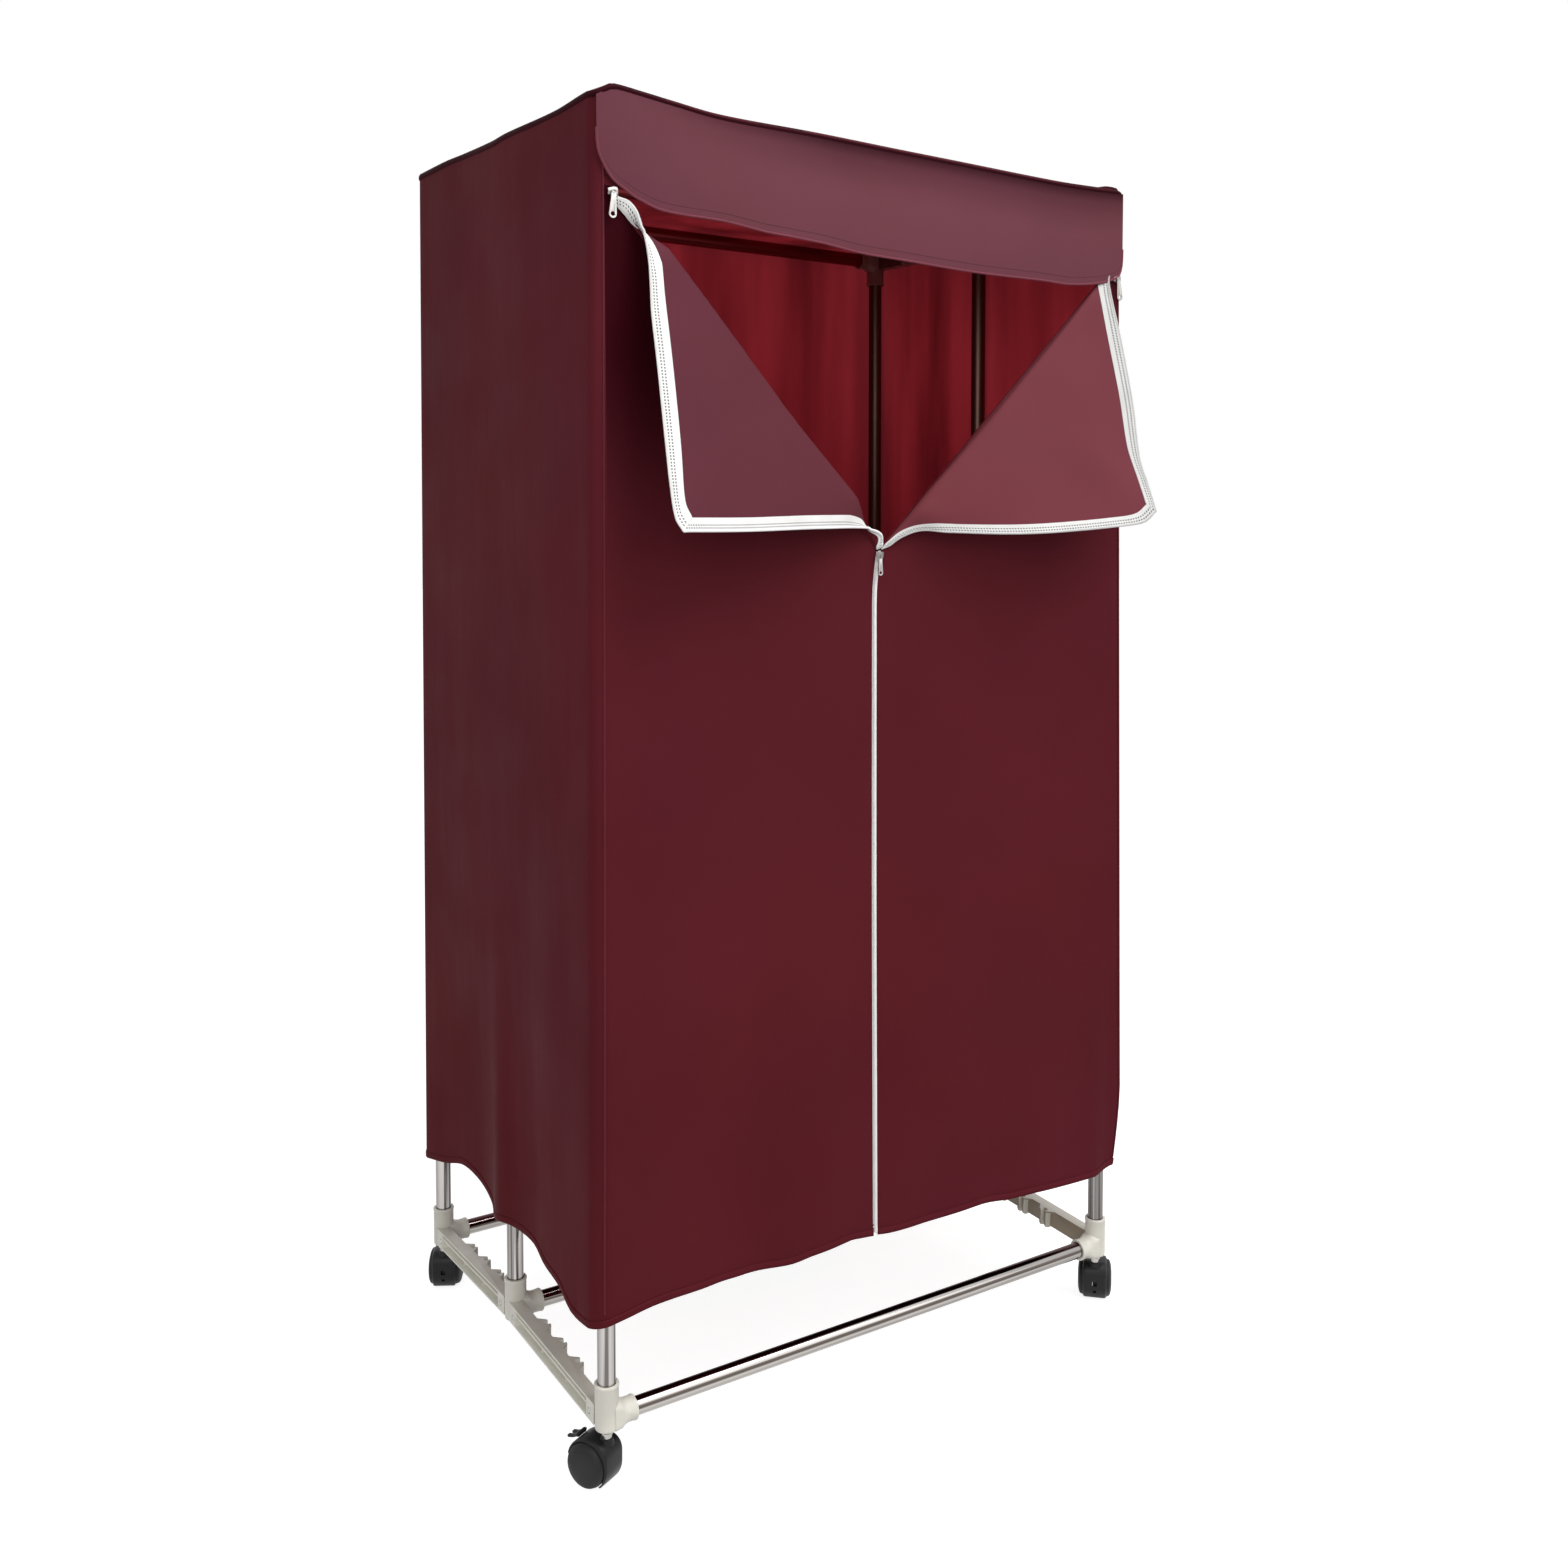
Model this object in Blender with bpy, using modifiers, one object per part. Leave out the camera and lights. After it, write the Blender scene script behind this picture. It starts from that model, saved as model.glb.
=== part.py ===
"""Portable clothes dryer: a tube frame on casters, moulded connectors and comb rails,
a zipped cloth cover with its front opened, and a fan heater on the base tubes.

Metres, +Z up, the front faces -Y. The posts stand at (+-POST_X, +-POST_Y) about the
middle of the frame, and the dryer_frame empty sets that middle behind the origin, so
that the origin lies on the floor under the middle of the whole object.
"""
from math import atan2, cos, hypot, pi, radians, sin

import bmesh
import bpy
from mathutils import Matrix, Vector

# Driving sizes of the frame
POST_X = 0.345
POST_Y = 0.240
DRYER_HEIGHT = 1.406
CASTER_HEIGHT = 0.060
FIT_GAP = 0.0003
OVERRUN = 0.004

# Steel tube
TUBE_RADIUS = 0.0095
TUBE_WALL = 0.0008
TUBE_SEAT = 0.015
TUBE_SIDES = 12
NECK_LENGTH = 0.040
NECK_TAPER = 0.003

# Moulded connectors
CONNECTOR_RADIUS = 0.0125
CONNECTOR_HEIGHT = 0.048
CONNECTOR_SIDES = 18
ARM_RADIUS = 0.0123
ARM_LENGTH = 0.031
ARM_SIDES = 12
TEE_RISE = 0.009

# Comb rails between the connectors
COMB_OUTER = 0.0115
COMB_BOTTOM = 0.0025
COMB_TOP = 0.0245
COMB_WALL = 0.002
COMB_WEB_INNER = 0.003
COMB_CHANNEL = 0.004
CLIP_REACH = 0.0115
CLIP_PLATE = 0.0026
CLIP_GAP = 0.0068
CLIP_DROP = 0.0015
CLIP_FIRST = 0.086
CLIP_PITCH = 0.043
CLIP_COUNT = 3
CLIP_ARC_STEPS = 2
COPE_SIDES = 10
CLIP_ROOT = 0.0075
CLIP_ROUND = 0.005
LUG_LENGTH = 0.013
LUG_ROOT_SHARE = 0.6
SCREW_SEAT_SHARE = 0.55
GUSSET_COUNT = 2
GUSSET_DEPTH = 0.008
GUSSET_WALL = 0.0014
COPE_GAP = 0.0009
SCREW_RADIUS = 0.0017
SCREW_LENGTH = 0.009
SCREW_SIDES = 8

# Twin-wheel casters
WHEEL_RADIUS = 0.023
WHEEL_SIDES = 18
WHEEL_TRAIL = 0.016
WHEEL_INNER = 0.0032
WHEEL_TREAD_OUTER = 0.0150
WHEEL_SHOULDER = 0.0185
WHEEL_SHOULDER_RADIUS = 0.0205
WHEEL_FACE = 0.0210
WHEEL_FACE_RADIUS = 0.013
AXLE_RADIUS = 0.0025
HOOD_HALF_WIDTH = 0.0148
HOOD_GAP = 0.0009
HOOD_WALL = 0.0019
HOOD_WEB = 0.0052
HOOD_TRAIL_END = radians(12)
HOOD_LEAD_END = radians(230)
HOOD_ARC_STEPS = 9
HOOD_BROW_SHARE = 0.55
HOOD_HOLE = 0.0042
HOOD_HOLE_DEPTH = 0.0045
HOOD_HOLE_ANGLE = radians(172)
NECK_RADIUS = 0.0062
COLLAR_RADIUS = 0.0066
COLLAR_HEIGHT = 0.0046
GRIP_RADIUS = 0.005
GRIP_LENGTH = 0.016
STEM_SIDES = 12
LEVER_HUB_RADIUS = 0.0024
LEVER_HUB_ANGLE = radians(52)
LEVER_REACH = 0.015
LEVER_WALL = 0.0024
LEVER_WIDTH = 0.012
LEVER_FORK_SHARE = 0.33
LEVER_STEPS = 4
LEVER_CURL = radians(33)
LEVER_PIN_RADIUS = 0.0012
LEVER_EAR_RADIUS = 0.0036
LEVER_EAR = 0.0016
CASTER_HEADINGS = {
    "front_left": radians(116),
    "front_right": radians(45),
    "rear_left": radians(60),
    "rear_right": radians(105),
}
BRAKED_CASTERS = ("front_left", "rear_right")

# Cloth cover
CLOTH = 0.0012
COVER_SLACK = 0.001
COVER_FLARE = 0.006
HEM_HEIGHT = 0.176
SIDE_HEM_ARCH = 0.020
SIDE_WAVE = 0.015
FRONT_WAVE = 0.008
BACK_WAVE = 0.006
SIDE_BAYS = 2
FRONT_BAYS = 3
BACK_BAYS = 5
WAVE_HEIGHT = 0.42
ROOF_SAG = 0.004
SEAM_LAP = 0.0006
ZIP_RECESS = 0.022
HEADER_BOTTOM = 1.3225
SIDE_COLUMNS = 12
SIDE_ROWS = 6
FRONT_COLUMNS = 8
FRONT_ROWS = 6
ROOF_COLUMNS = 8
ROOF_ROWS = 6

# Front opening: lapels, zips, valance
FOLD_X = 0.339
FOLD_TOP = 1.306
FOLD_BOTTOM = 0.9616
FOLD_ANGLE = radians(150)
FOLD_STAND_OFF = 0.0008
FOLD_CLEAR = 0.0015
LAPEL_SIDES_TRIM = 0.016
LAPEL_GAP = 0.0015
LAPEL_TAPE_WIDTH = 0.012
LAPEL_TAPE_THICKNESS = 0.0018
ZIP_WIDTH = 0.006
ZIP_THICKNESS = 0.002
ZIP_TOP_DROP = 0.003
TOP_TAPE_HEIGHT = 0.0150
TOP_TAPE_END = 0.012
TOP_TAPE_BITE = 0.0003
VALANCE_DROP = 0.121
VALANCE_INSET = 0.0015
VALANCE_STAND = 0.0016
VALANCE_ROUND_X = 0.085
VALANCE_ROUND_Z = 0.070
VALANCE_ARC_STEPS = 8
SLIDER_WIDTH = 0.0085
SLIDER_NOSE = 0.0045
SLIDER_HEIGHT = 0.011
SLIDER_THICKNESS = 0.0022
EYE_BAR_RADIUS = 0.0007
EYE_BAR_STAND = 0.0026
EYE_EAR = 0.0012
EYE_SPAN = 0.0056
PULL_WIDTH = 0.0048
PULL_LENGTH = 0.024
PULL_THICKNESS = 0.001
PULL_BARREL = 0.0017
PULL_WAIST_SHARE = 0.6
PULL_NECK_SHARE = 0.35
PULL_SHOULDER_SHARE = 0.6

# Fan heater on the middle and rear base tubes
HEATER_WIDTH = 0.300
HEATER_FRONT = 0.004
HEATER_BACK = 0.232
HEATER_BOTTOM = 0.104
HEATER_SPLIT = 0.158
HEATER_TOP = 0.236
HEATER_CORNER = 0.045
HEATER_WALL = 0.0024
HEATER_CORNER_STEPS = 3
HEATER_CROWN = 0.018
HEATER_CROWN_STEPS = 3
SADDLE_WIDTH = 0.030
SADDLE_LENGTH = 0.026
SADDLE_X = 0.100
SADDLE_GRIP = 0.004
VENT_COUNT = 7
VENT_PITCH = 0.020
VENT_SLOT = 0.007
VENT_LENGTH = 0.150
INTAKE_COUNT = 5
INTAKE_LENGTH = 0.070
MOTOR_RADIUS = 0.026
MOTOR_HEIGHT = 0.032
MOTOR_SHAFT_RADIUS = 0.003
MOTOR_SHAFT_LENGTH = 0.020
MOTOR_SIDES = 16
MOTOR_CROWN_SHARE = 0.7
MOTOR_SHOULDER_SHARE = 0.85
IMPELLER_HUB_RADIUS = 0.014
IMPELLER_HUB_HEIGHT = 0.014
IMPELLER_RADIUS = 0.058
IMPELLER_BLADES = 5
HUB_CROWN_SHARE = 0.8
HUB_SHOULDER_SHARE = 0.5
HUB_BORE_SHARE = 0.4
BLADE_CHORD_SHARE = 0.9
BLADE_ROOT_SHARE = 0.4
BLADE_TRAIL_SHARE = 0.9
BLADE_LEAD_SHARE = 0.7
BLADE_THICKNESS = 0.0016
BLADE_PITCH = radians(32)
ELEMENT_WIDTH = 0.150
ELEMENT_DEPTH = 0.130
ELEMENT_HEIGHT = 0.012
ELEMENT_LIFT = 0.080
ELEMENT_RIM = 0.008
ELEMENT_FINS = 5
ELEMENT_FIN = 0.002
ELEMENT_FIN_INSET = 0.0004
ELEMENT_LEG = 0.003
KNOB_RADIUS = 0.018
KNOB_DEPTH = 0.014
KNOB_SIDES = 16
KNOB_CROWN_SHARE = 0.85
KNOB_SHOULDER_SHARE = 0.8
KNOB_RIDGE = 0.0043
KNOB_RIDGE_SHARES = (0.7, 0.9)
KNOB_RIDGE_RISE_SHARES = (0.9, 1.25)
KNOB_X = 0.085
KNOB_SHAFT_RADIUS = 0.004
KNOB_SHAFT_LENGTH = 0.008
INLET_RADIUS = 0.009
INLET_TIP_RADIUS = 0.0065
INLET_LENGTH = 0.014
INLET_BORE = 0.004
INLET_X = 0.090
INLET_SIDES = 12

# Sizes that follow from the ones above
TUBE_INNER = TUBE_RADIUS - TUBE_WALL
NECK_OUTER = TUBE_INNER - FIT_GAP
ROOF_TOP = DRYER_HEIGHT
FRAME_TOP = ROOF_TOP - CLOTH - FIT_GAP
COVER_TOP_X = POST_X + CONNECTOR_RADIUS + COVER_SLACK
COVER_TOP_Y = POST_Y + CONNECTOR_RADIUS + COVER_SLACK
ZIP_LINE_Y = -(COVER_TOP_Y + COVER_FLARE / 2) + ZIP_RECESS
BASE_TUBE_Z = CASTER_HEIGHT + CONNECTOR_RADIUS
TOP_TUBE_Z = FRAME_TOP - CONNECTOR_RADIUS
AXLE_Z = WHEEL_RADIUS * cos(pi / WHEEL_SIDES)
HOOD_RADIUS = WHEEL_RADIUS + HOOD_GAP + HOOD_WALL
HOOD_TOP = AXLE_Z + HOOD_RADIUS
FOLD_DROP = FOLD_TOP - FOLD_BOTTOM
LAPEL_REACH = FOLD_X * FOLD_DROP / hypot(FOLD_X, FOLD_DROP) * sin(FOLD_ANGLE)
FRONT_REACH = (COVER_TOP_Y - ZIP_LINE_Y) / 2 + LAPEL_REACH
REAR_REACH = POST_Y + WHEEL_TRAIL + HOOD_RADIUS
FRAME_MIDDLE_Y = (FRONT_REACH - REAR_REACH) / 2

SIDES = {"left": -1, "right": 1}
ENDS = {"front": -1, "rear": 1}

# Finishes: colour, metallic, roughness
FINISHES = {
    "ivory_plastic": ((0.80, 0.79, 0.72), 0.0, 0.42),
    "bright_steel": ((0.74, 0.72, 0.70), 1.0, 0.18),
    "screw_steel": ((0.45, 0.44, 0.42), 1.0, 0.35),
    "black_plastic": ((0.018, 0.018, 0.019), 0.0, 0.40),
    "zinc": ((0.80, 0.80, 0.80), 1.0, 0.25),
    "cover_cloth": ((0.115, 0.018, 0.024), 0.0, 0.55),
    "white_zip": ((0.85, 0.84, 0.82), 0.0, 0.55),
    "heater_shell": ((0.78, 0.78, 0.76), 0.0, 0.40),
    "heater_dark": ((0.05, 0.05, 0.055), 0.0, 0.45),
    "motor_steel": ((0.55, 0.55, 0.55), 1.0, 0.40),
    "element_metal": ((0.60, 0.60, 0.58), 1.0, 0.35),
}


def empty_the_scene():
    for old in list(bpy.data.objects):
        bpy.data.objects.remove(old, do_unlink=True)


empty_the_scene()
dryer = bpy.data.collections.new("portable_clothes_dryer")
bpy.context.scene.collection.children.link(dryer)
dryer_frame = bpy.data.objects.new("dryer_frame", None)
dryer.objects.link(dryer_frame)
dryer_frame.location = (0, FRAME_MIDDLE_Y, 0)


# Modelling helpers
def finish_material(name):
    found = bpy.data.materials.get(name)
    if found:
        return found
    colour, metallic, roughness = FINISHES[name]
    made = bpy.data.materials.new(name)
    made.use_nodes = True
    shader = made.node_tree.nodes["Principled BSDF"]
    shader.inputs["Base Color"].default_value = (*colour, 1)
    shader.inputs["Metallic"].default_value = metallic
    shader.inputs["Roughness"].default_value = roughness
    return made


def add_piece(name, mesh, finish, at=(0, 0, 0), turn=(0, 0, 0)):
    """Puts a mesh into the dryer as a named piece, about its own origin."""
    piece = bpy.data.objects.new(name, mesh)
    mesh.materials.clear()
    mesh.materials.append(finish_material(finish))
    mesh.shade_smooth()
    mesh.set_sharp_from_angle(angle=radians(32))
    piece.location = at
    piece.rotation_euler = turn
    piece.parent = dryer_frame
    dryer.objects.link(piece)
    return piece


def evaluated_mesh(draft):
    """Takes the finished mesh of a draft object and removes the draft."""
    bpy.context.scene.collection.objects.link(draft)
    graph = bpy.context.evaluated_depsgraph_get()
    mesh = bpy.data.meshes.new_from_object(draft.evaluated_get(graph))
    bpy.data.objects.remove(draft, do_unlink=True)
    work = bmesh.new()
    work.from_mesh(mesh)
    bmesh.ops.remove_doubles(work, verts=work.verts, dist=FIT_GAP / 100)
    work.to_mesh(mesh)
    work.free()
    return mesh


def placed(mesh, place):
    """A copy of a mesh under a placement, kept right side out when mirrored."""
    work = bmesh.new()
    work.from_mesh(mesh)
    bmesh.ops.transform(work, matrix=place, verts=work.verts)
    if place.determinant() < 0:
        bmesh.ops.reverse_faces(work, faces=work.faces)
    copy = bpy.data.meshes.new(mesh.name)
    work.to_mesh(copy)
    work.free()
    return copy


def gathered(meshes):
    """One mesh that holds several separate solids."""
    work = bmesh.new()
    for mesh in meshes:
        work.from_mesh(mesh)
    whole = bpy.data.meshes.new("gathered")
    work.to_mesh(whole)
    work.free()
    return whole


def shift(x=0, y=0, z=0):
    return Matrix.Translation((x, y, z))


def turn(angle, axis):
    return Matrix.Rotation(angle, 4, axis)


def flip(x=1, y=1, z=1):
    return Matrix.Diagonal((x, y, z, 1))


def turned_solid(profile, sides, hollow=False):
    """Turns an (r, z) profile about Z; it runs down the outer side, and back if hollow."""
    count = len(profile)
    edges = [(i, i + 1) for i in range(count - 1)]
    if hollow:
        edges.append((count - 1, 0))
    mesh = bpy.data.meshes.new("profile")
    mesh.from_pydata([(r, 0, z) for r, z in profile], edges, [])
    draft = bpy.data.objects.new("profile", mesh)
    screw = draft.modifiers.new("turn", "SCREW")
    screw.steps = sides
    screw.render_steps = sides
    screw.use_merge_vertices = True
    screw.merge_threshold = FIT_GAP / 100
    return evaluated_mesh(draft)


def cylinder(radius, low, high, sides):
    return turned_solid([(0, high), (radius, high), (radius, low), (0, low)], sides)


def plate(outline, thickness):
    """A flat outline in XY with its thickness along Z, centred on z = 0."""
    flat = bpy.data.curves.new("outline", "CURVE")
    flat.dimensions = "2D"
    flat.fill_mode = "BOTH"
    flat.extrude = thickness / 2
    run = flat.splines.new("POLY")
    run.points.add(len(outline) - 1)
    for point, (x, y) in zip(run.points, outline):
        point.co = (x, y, 0, 1)
    run.use_cyclic_u = True
    return evaluated_mesh(bpy.data.objects.new("outline", flat))


def box(low, high):
    work = bmesh.new()
    bmesh.ops.create_cube(work, size=1)
    size = Vector(high) - Vector(low)
    middle = (Vector(high) + Vector(low)) / 2
    place = Matrix.Translation(middle) @ Matrix.Diagonal((*size, 1))
    bmesh.ops.transform(work, matrix=place, verts=work.verts)
    mesh = bpy.data.meshes.new("box")
    work.to_mesh(mesh)
    work.free()
    return mesh


def carved(base, joins=(), cuts=()):
    """Joins and cuts whole meshes with exact Booleans and returns the result."""
    draft = bpy.data.objects.new("draft", base)
    tools = []
    for operation, meshes in (("UNION", joins), ("DIFFERENCE", cuts)):
        for mesh in meshes:
            tool = bpy.data.objects.new("tool", mesh)
            bpy.context.scene.collection.objects.link(tool)
            tools.append(tool)
            step = draft.modifiers.new(operation, "BOOLEAN")
            step.operation = operation
            step.object = tool
    mesh = evaluated_mesh(draft)
    for tool in tools:
        bpy.data.objects.remove(tool, do_unlink=True)
    return mesh


def sheet(surface, columns, rows, thickness):
    """A cloth solid on the surface (u, v) -> point, thickened along its normals."""
    work = bmesh.new()
    bmesh.ops.create_grid(work, x_segments=columns, y_segments=rows, size=0.5)
    for vert in work.verts:
        vert.co = surface(vert.co.x + 0.5, vert.co.y + 0.5)
    mesh = bpy.data.meshes.new("sheet")
    work.to_mesh(mesh)
    work.free()
    draft = bpy.data.objects.new("sheet", mesh)
    wall = draft.modifiers.new("thickness", "SOLIDIFY")
    wall.thickness = thickness
    wall.offset = 1
    wall.use_even_offset = True
    return evaluated_mesh(draft)


def arc(centre_x, centre_y, radius, start, end, steps):
    """Points on an arc, both ends included."""
    points = []
    for i in range(steps + 1):
        angle = start + (end - start) * i / steps
        points.append((centre_x + radius * cos(angle), centre_y + radius * sin(angle)))
    return points


# Connectors
def connector_mesh(with_stem_hole):
    """A post socket with one tube arm along +X, standing on z = 0."""
    post_socket = cylinder(CONNECTOR_RADIUS, 0, CONNECTOR_HEIGHT, CONNECTOR_SIDES)
    along_x = shift(z=CONNECTOR_RADIUS) @ turn(pi / 2, "Y")
    arm = placed(cylinder(ARM_RADIUS, 0, ARM_LENGTH, ARM_SIDES), along_x)
    bore = TUBE_RADIUS + FIT_GAP
    post_floor = CONNECTOR_HEIGHT - TUBE_SEAT - FIT_GAP
    post_bore = cylinder(bore, post_floor, CONNECTOR_HEIGHT + OVERRUN, TUBE_SIDES)
    arm_floor = ARM_LENGTH - TUBE_SEAT - FIT_GAP
    arm_bore = cylinder(bore, arm_floor, ARM_LENGTH + OVERRUN, TUBE_SIDES)
    tools = [post_bore, placed(arm_bore, along_x)]
    if with_stem_hole:
        grip_floor = GRIP_LENGTH + FIT_GAP
        tools.append(cylinder(GRIP_RADIUS + FIT_GAP, -OVERRUN, grip_floor, STEM_SIDES))
    return carved(post_socket, joins=[arm], cuts=[gathered(tools)])


def build_connectors():
    corner = connector_mesh(with_stem_hole=True)
    plain = connector_mesh(with_stem_hole=False)
    inward = {"left": 0, "right": pi}
    for side, sx in SIDES.items():
        about = turn(inward[side], "Z")
        upside_down = flip(z=-1) @ about
        for end, sy in ENDS.items():
            x, y = sx * POST_X, sy * POST_Y
            add_piece(f"base_corner_{end}_{side}", placed(corner, about), "ivory_plastic",
                      (x, y, CASTER_HEIGHT))
            add_piece(f"top_corner_{end}_{side}", placed(plain, upside_down), "ivory_plastic",
                      (x, y, FRAME_TOP))
        add_piece(f"base_tee_{side}", placed(plain, about), "ivory_plastic",
                  (sx * POST_X, 0, CASTER_HEIGHT + TEE_RISE))
        add_piece(f"top_tee_{side}", placed(plain, upside_down), "ivory_plastic",
                  (sx * POST_X, 0, FRAME_TOP - TEE_RISE))


# Comb rails
def clip_stations():
    return [CLIP_FIRST + CLIP_PITCH * i for i in range(CLIP_COUNT)]


def comb_top_outline():
    """Plan of the top strip: a straight outer edge and a scalloped inner one."""
    start = CONNECTOR_RADIUS / 2
    end = POST_Y - start
    half_clip = CLIP_GAP / 2 + CLIP_PLATE
    points = [(-COMB_OUTER, end), (-COMB_OUTER, start), (COMB_WEB_INNER, start)]
    for y in clip_stations():
        points += [
            (COMB_WEB_INNER, y - half_clip - CLIP_ROOT),
            (CLIP_REACH, y - half_clip),
            (CLIP_REACH, y - CLIP_GAP / 2),
            (COMB_WEB_INNER + COMB_WALL, y - CLIP_GAP / 2),
            (COMB_WEB_INNER + COMB_WALL, y + CLIP_GAP / 2),
            (CLIP_REACH, y + CLIP_GAP / 2),
            (CLIP_REACH, y + half_clip),
            (COMB_WEB_INNER, y + half_clip + CLIP_ROOT),
        ]
    points.append((COMB_WEB_INNER, end))
    return points


def comb_section():
    """E-shaped section open to the outside: web, mid rib and bottom flange."""
    web_outer = COMB_WEB_INNER - COMB_WALL
    rib_top = COMB_TOP - COMB_WALL - COMB_CHANNEL
    rib_bottom = rib_top - COMB_WALL
    flange_top = COMB_BOTTOM + COMB_WALL
    web_top = COMB_TOP - COMB_WALL / 2
    return [
        (-COMB_OUTER, COMB_BOTTOM), (COMB_WEB_INNER, COMB_BOTTOM), (COMB_WEB_INNER, web_top),
        (web_outer, web_top), (web_outer, rib_top), (-COMB_OUTER, rib_top),
        (-COMB_OUTER, rib_bottom), (web_outer, rib_bottom), (web_outer, flange_top),
        (-COMB_OUTER, flange_top),
    ]


def clip_outline():
    """Side view of one clip plate, rounded at its lower tip."""
    low = COMB_BOTTOM - CLIP_DROP
    high = COMB_TOP - COMB_WALL / 2
    root = COMB_WEB_INNER - COMB_WALL / 2
    tip = arc(CLIP_REACH - CLIP_ROUND, low + CLIP_ROUND, CLIP_ROUND, -pi / 2, 0, CLIP_ARC_STEPS)
    return [(root, low), *tip, (CLIP_REACH, high), (root, high)]


def comb_mesh():
    """One comb rail from a left corner post at y = 0 to the tee post at y = POST_Y."""
    upright = turn(pi / 2, "X")
    length = POST_Y - CONNECTOR_RADIUS
    rail = placed(plate(comb_section(), length), shift(y=POST_Y / 2) @ upright)
    strip_z = COMB_TOP - COMB_WALL / 2
    strip = placed(plate(comb_top_outline(), COMB_WALL), shift(z=strip_z))
    fin = plate(clip_outline(), CLIP_PLATE)
    fin_offset = (CLIP_GAP + CLIP_PLATE) / 2
    fins = []
    for y in clip_stations():
        for way in (-1, 1):
            fins.append(placed(fin, shift(y=y + way * fin_offset) @ upright))
    blocks = []
    inner = COMB_WEB_INNER - COMB_WALL / 2
    low = COMB_BOTTOM
    high = COMB_TOP
    lug_start = CONNECTOR_RADIUS * LUG_ROOT_SHARE
    lug_end = CONNECTOR_RADIUS + LUG_LENGTH
    lug_face = -COMB_OUTER
    blocks.append(box((lug_face, lug_start, low), (inner, lug_end, high)))
    blocks.append(box((lug_face, POST_Y - lug_end, low), (inner, POST_Y - lug_start, high)))
    bay = (POST_Y - 2 * lug_end) / (GUSSET_COUNT + 1)
    for i in range(GUSSET_COUNT):
        y = lug_end + bay * (i + 1)
        face = inner - GUSSET_DEPTH
        blocks.append(box((face, y - GUSSET_WALL / 2, low), (inner, y + GUSSET_WALL / 2, high)))
    rail = carved(rail, joins=[strip, gathered(fins), gathered(blocks)])
    tilt = turn(atan2(TEE_RISE, POST_Y), "X")
    rail = placed(rail, tilt)
    cope_radius = CONNECTOR_RADIUS + COPE_GAP
    cope = cylinder(cope_radius, -CONNECTOR_HEIGHT, CONNECTOR_HEIGHT, COPE_SIDES)
    tools = [cope, placed(cope, shift(y=POST_Y))]
    drill = cylinder(SCREW_RADIUS + FIT_GAP, -OVERRUN, SCREW_LENGTH + FIT_GAP, SCREW_SIDES)
    for place in screw_places():
        tools.append(placed(drill, tilt @ place))
    return carved(rail, cuts=[gathered(tools)])


def screw_places():
    """Where the two screws of a comb rail enter its outer face."""
    middle = CONNECTOR_RADIUS + LUG_LENGTH * SCREW_SEAT_SHARE
    height = (COMB_TOP + COMB_BOTTOM) / 2 - COMB_WALL
    into = turn(pi / 2, "Y")
    return [shift(-COMB_OUTER, y, height) @ into for y in (middle, POST_Y - middle)]


def build_combs():
    rail = comb_mesh()
    for side, sx in SIDES.items():
        for end, sy in ENDS.items():
            x, y = sx * POST_X, sy * POST_Y
            mirrored = flip(x=-sx, y=-sy)
            add_piece(f"base_comb_{end}_{side}", placed(rail, mirrored), "ivory_plastic",
                      (x, y, CASTER_HEIGHT))
            upside_down = flip(z=-1) @ mirrored
            add_piece(f"top_comb_{end}_{side}", placed(rail, upside_down), "ivory_plastic",
                      (x, y, FRAME_TOP))


# Tubes
def tube_mesh(length):
    """A straight tube along Z from z = 0."""
    profile = [(TUBE_RADIUS, length), (TUBE_RADIUS, 0), (TUBE_INNER, 0), (TUBE_INNER, length)]
    return turned_solid(profile, TUBE_SIDES, hollow=True)


def post_mesh(length, joint):
    """A lower tube and the tube above it, whose swaged neck enters the lower one at joint."""
    neck_inner = NECK_OUTER - TUBE_WALL
    shoulder = joint + NECK_TAPER
    profile = [
        (TUBE_RADIUS, length), (TUBE_RADIUS, shoulder), (NECK_OUTER, joint + FIT_GAP),
        (NECK_OUTER, joint), (TUBE_RADIUS, joint), (TUBE_RADIUS, 0), (TUBE_INNER, 0),
        (TUBE_INNER, joint - NECK_LENGTH), (neck_inner, joint - NECK_LENGTH),
        (neck_inner, joint + FIT_GAP), (TUBE_INNER, shoulder), (TUBE_INNER, length),
    ]
    return turned_solid(profile, TUBE_SIDES, hollow=True)


def build_tubes():
    half = POST_X - ARM_LENGTH + TUBE_SEAT
    crossbar = placed(tube_mesh(2 * half), shift(-half) @ turn(pi / 2, "Y"))
    rows = {"front": (-POST_Y, 0), "middle": (0, TEE_RISE), "rear": (POST_Y, 0)}
    for row, (y, rise) in rows.items():
        add_piece(f"base_tube_{row}", crossbar.copy(), "bright_steel", (0, y, BASE_TUBE_Z + rise))
        add_piece(f"top_tube_{row}", crossbar.copy(), "bright_steel", (0, y, TOP_TUBE_Z - rise))
        foot = CASTER_HEIGHT + rise + CONNECTOR_HEIGHT - TUBE_SEAT
        head = FRAME_TOP - rise - CONNECTOR_HEIGHT + TUBE_SEAT
        post = post_mesh(head - foot, (head - foot) / 2)
        for side, sx in SIDES.items():
            add_piece(f"post_{row}_{side}", post.copy(), "bright_steel", (sx * POST_X, y, foot))


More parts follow.
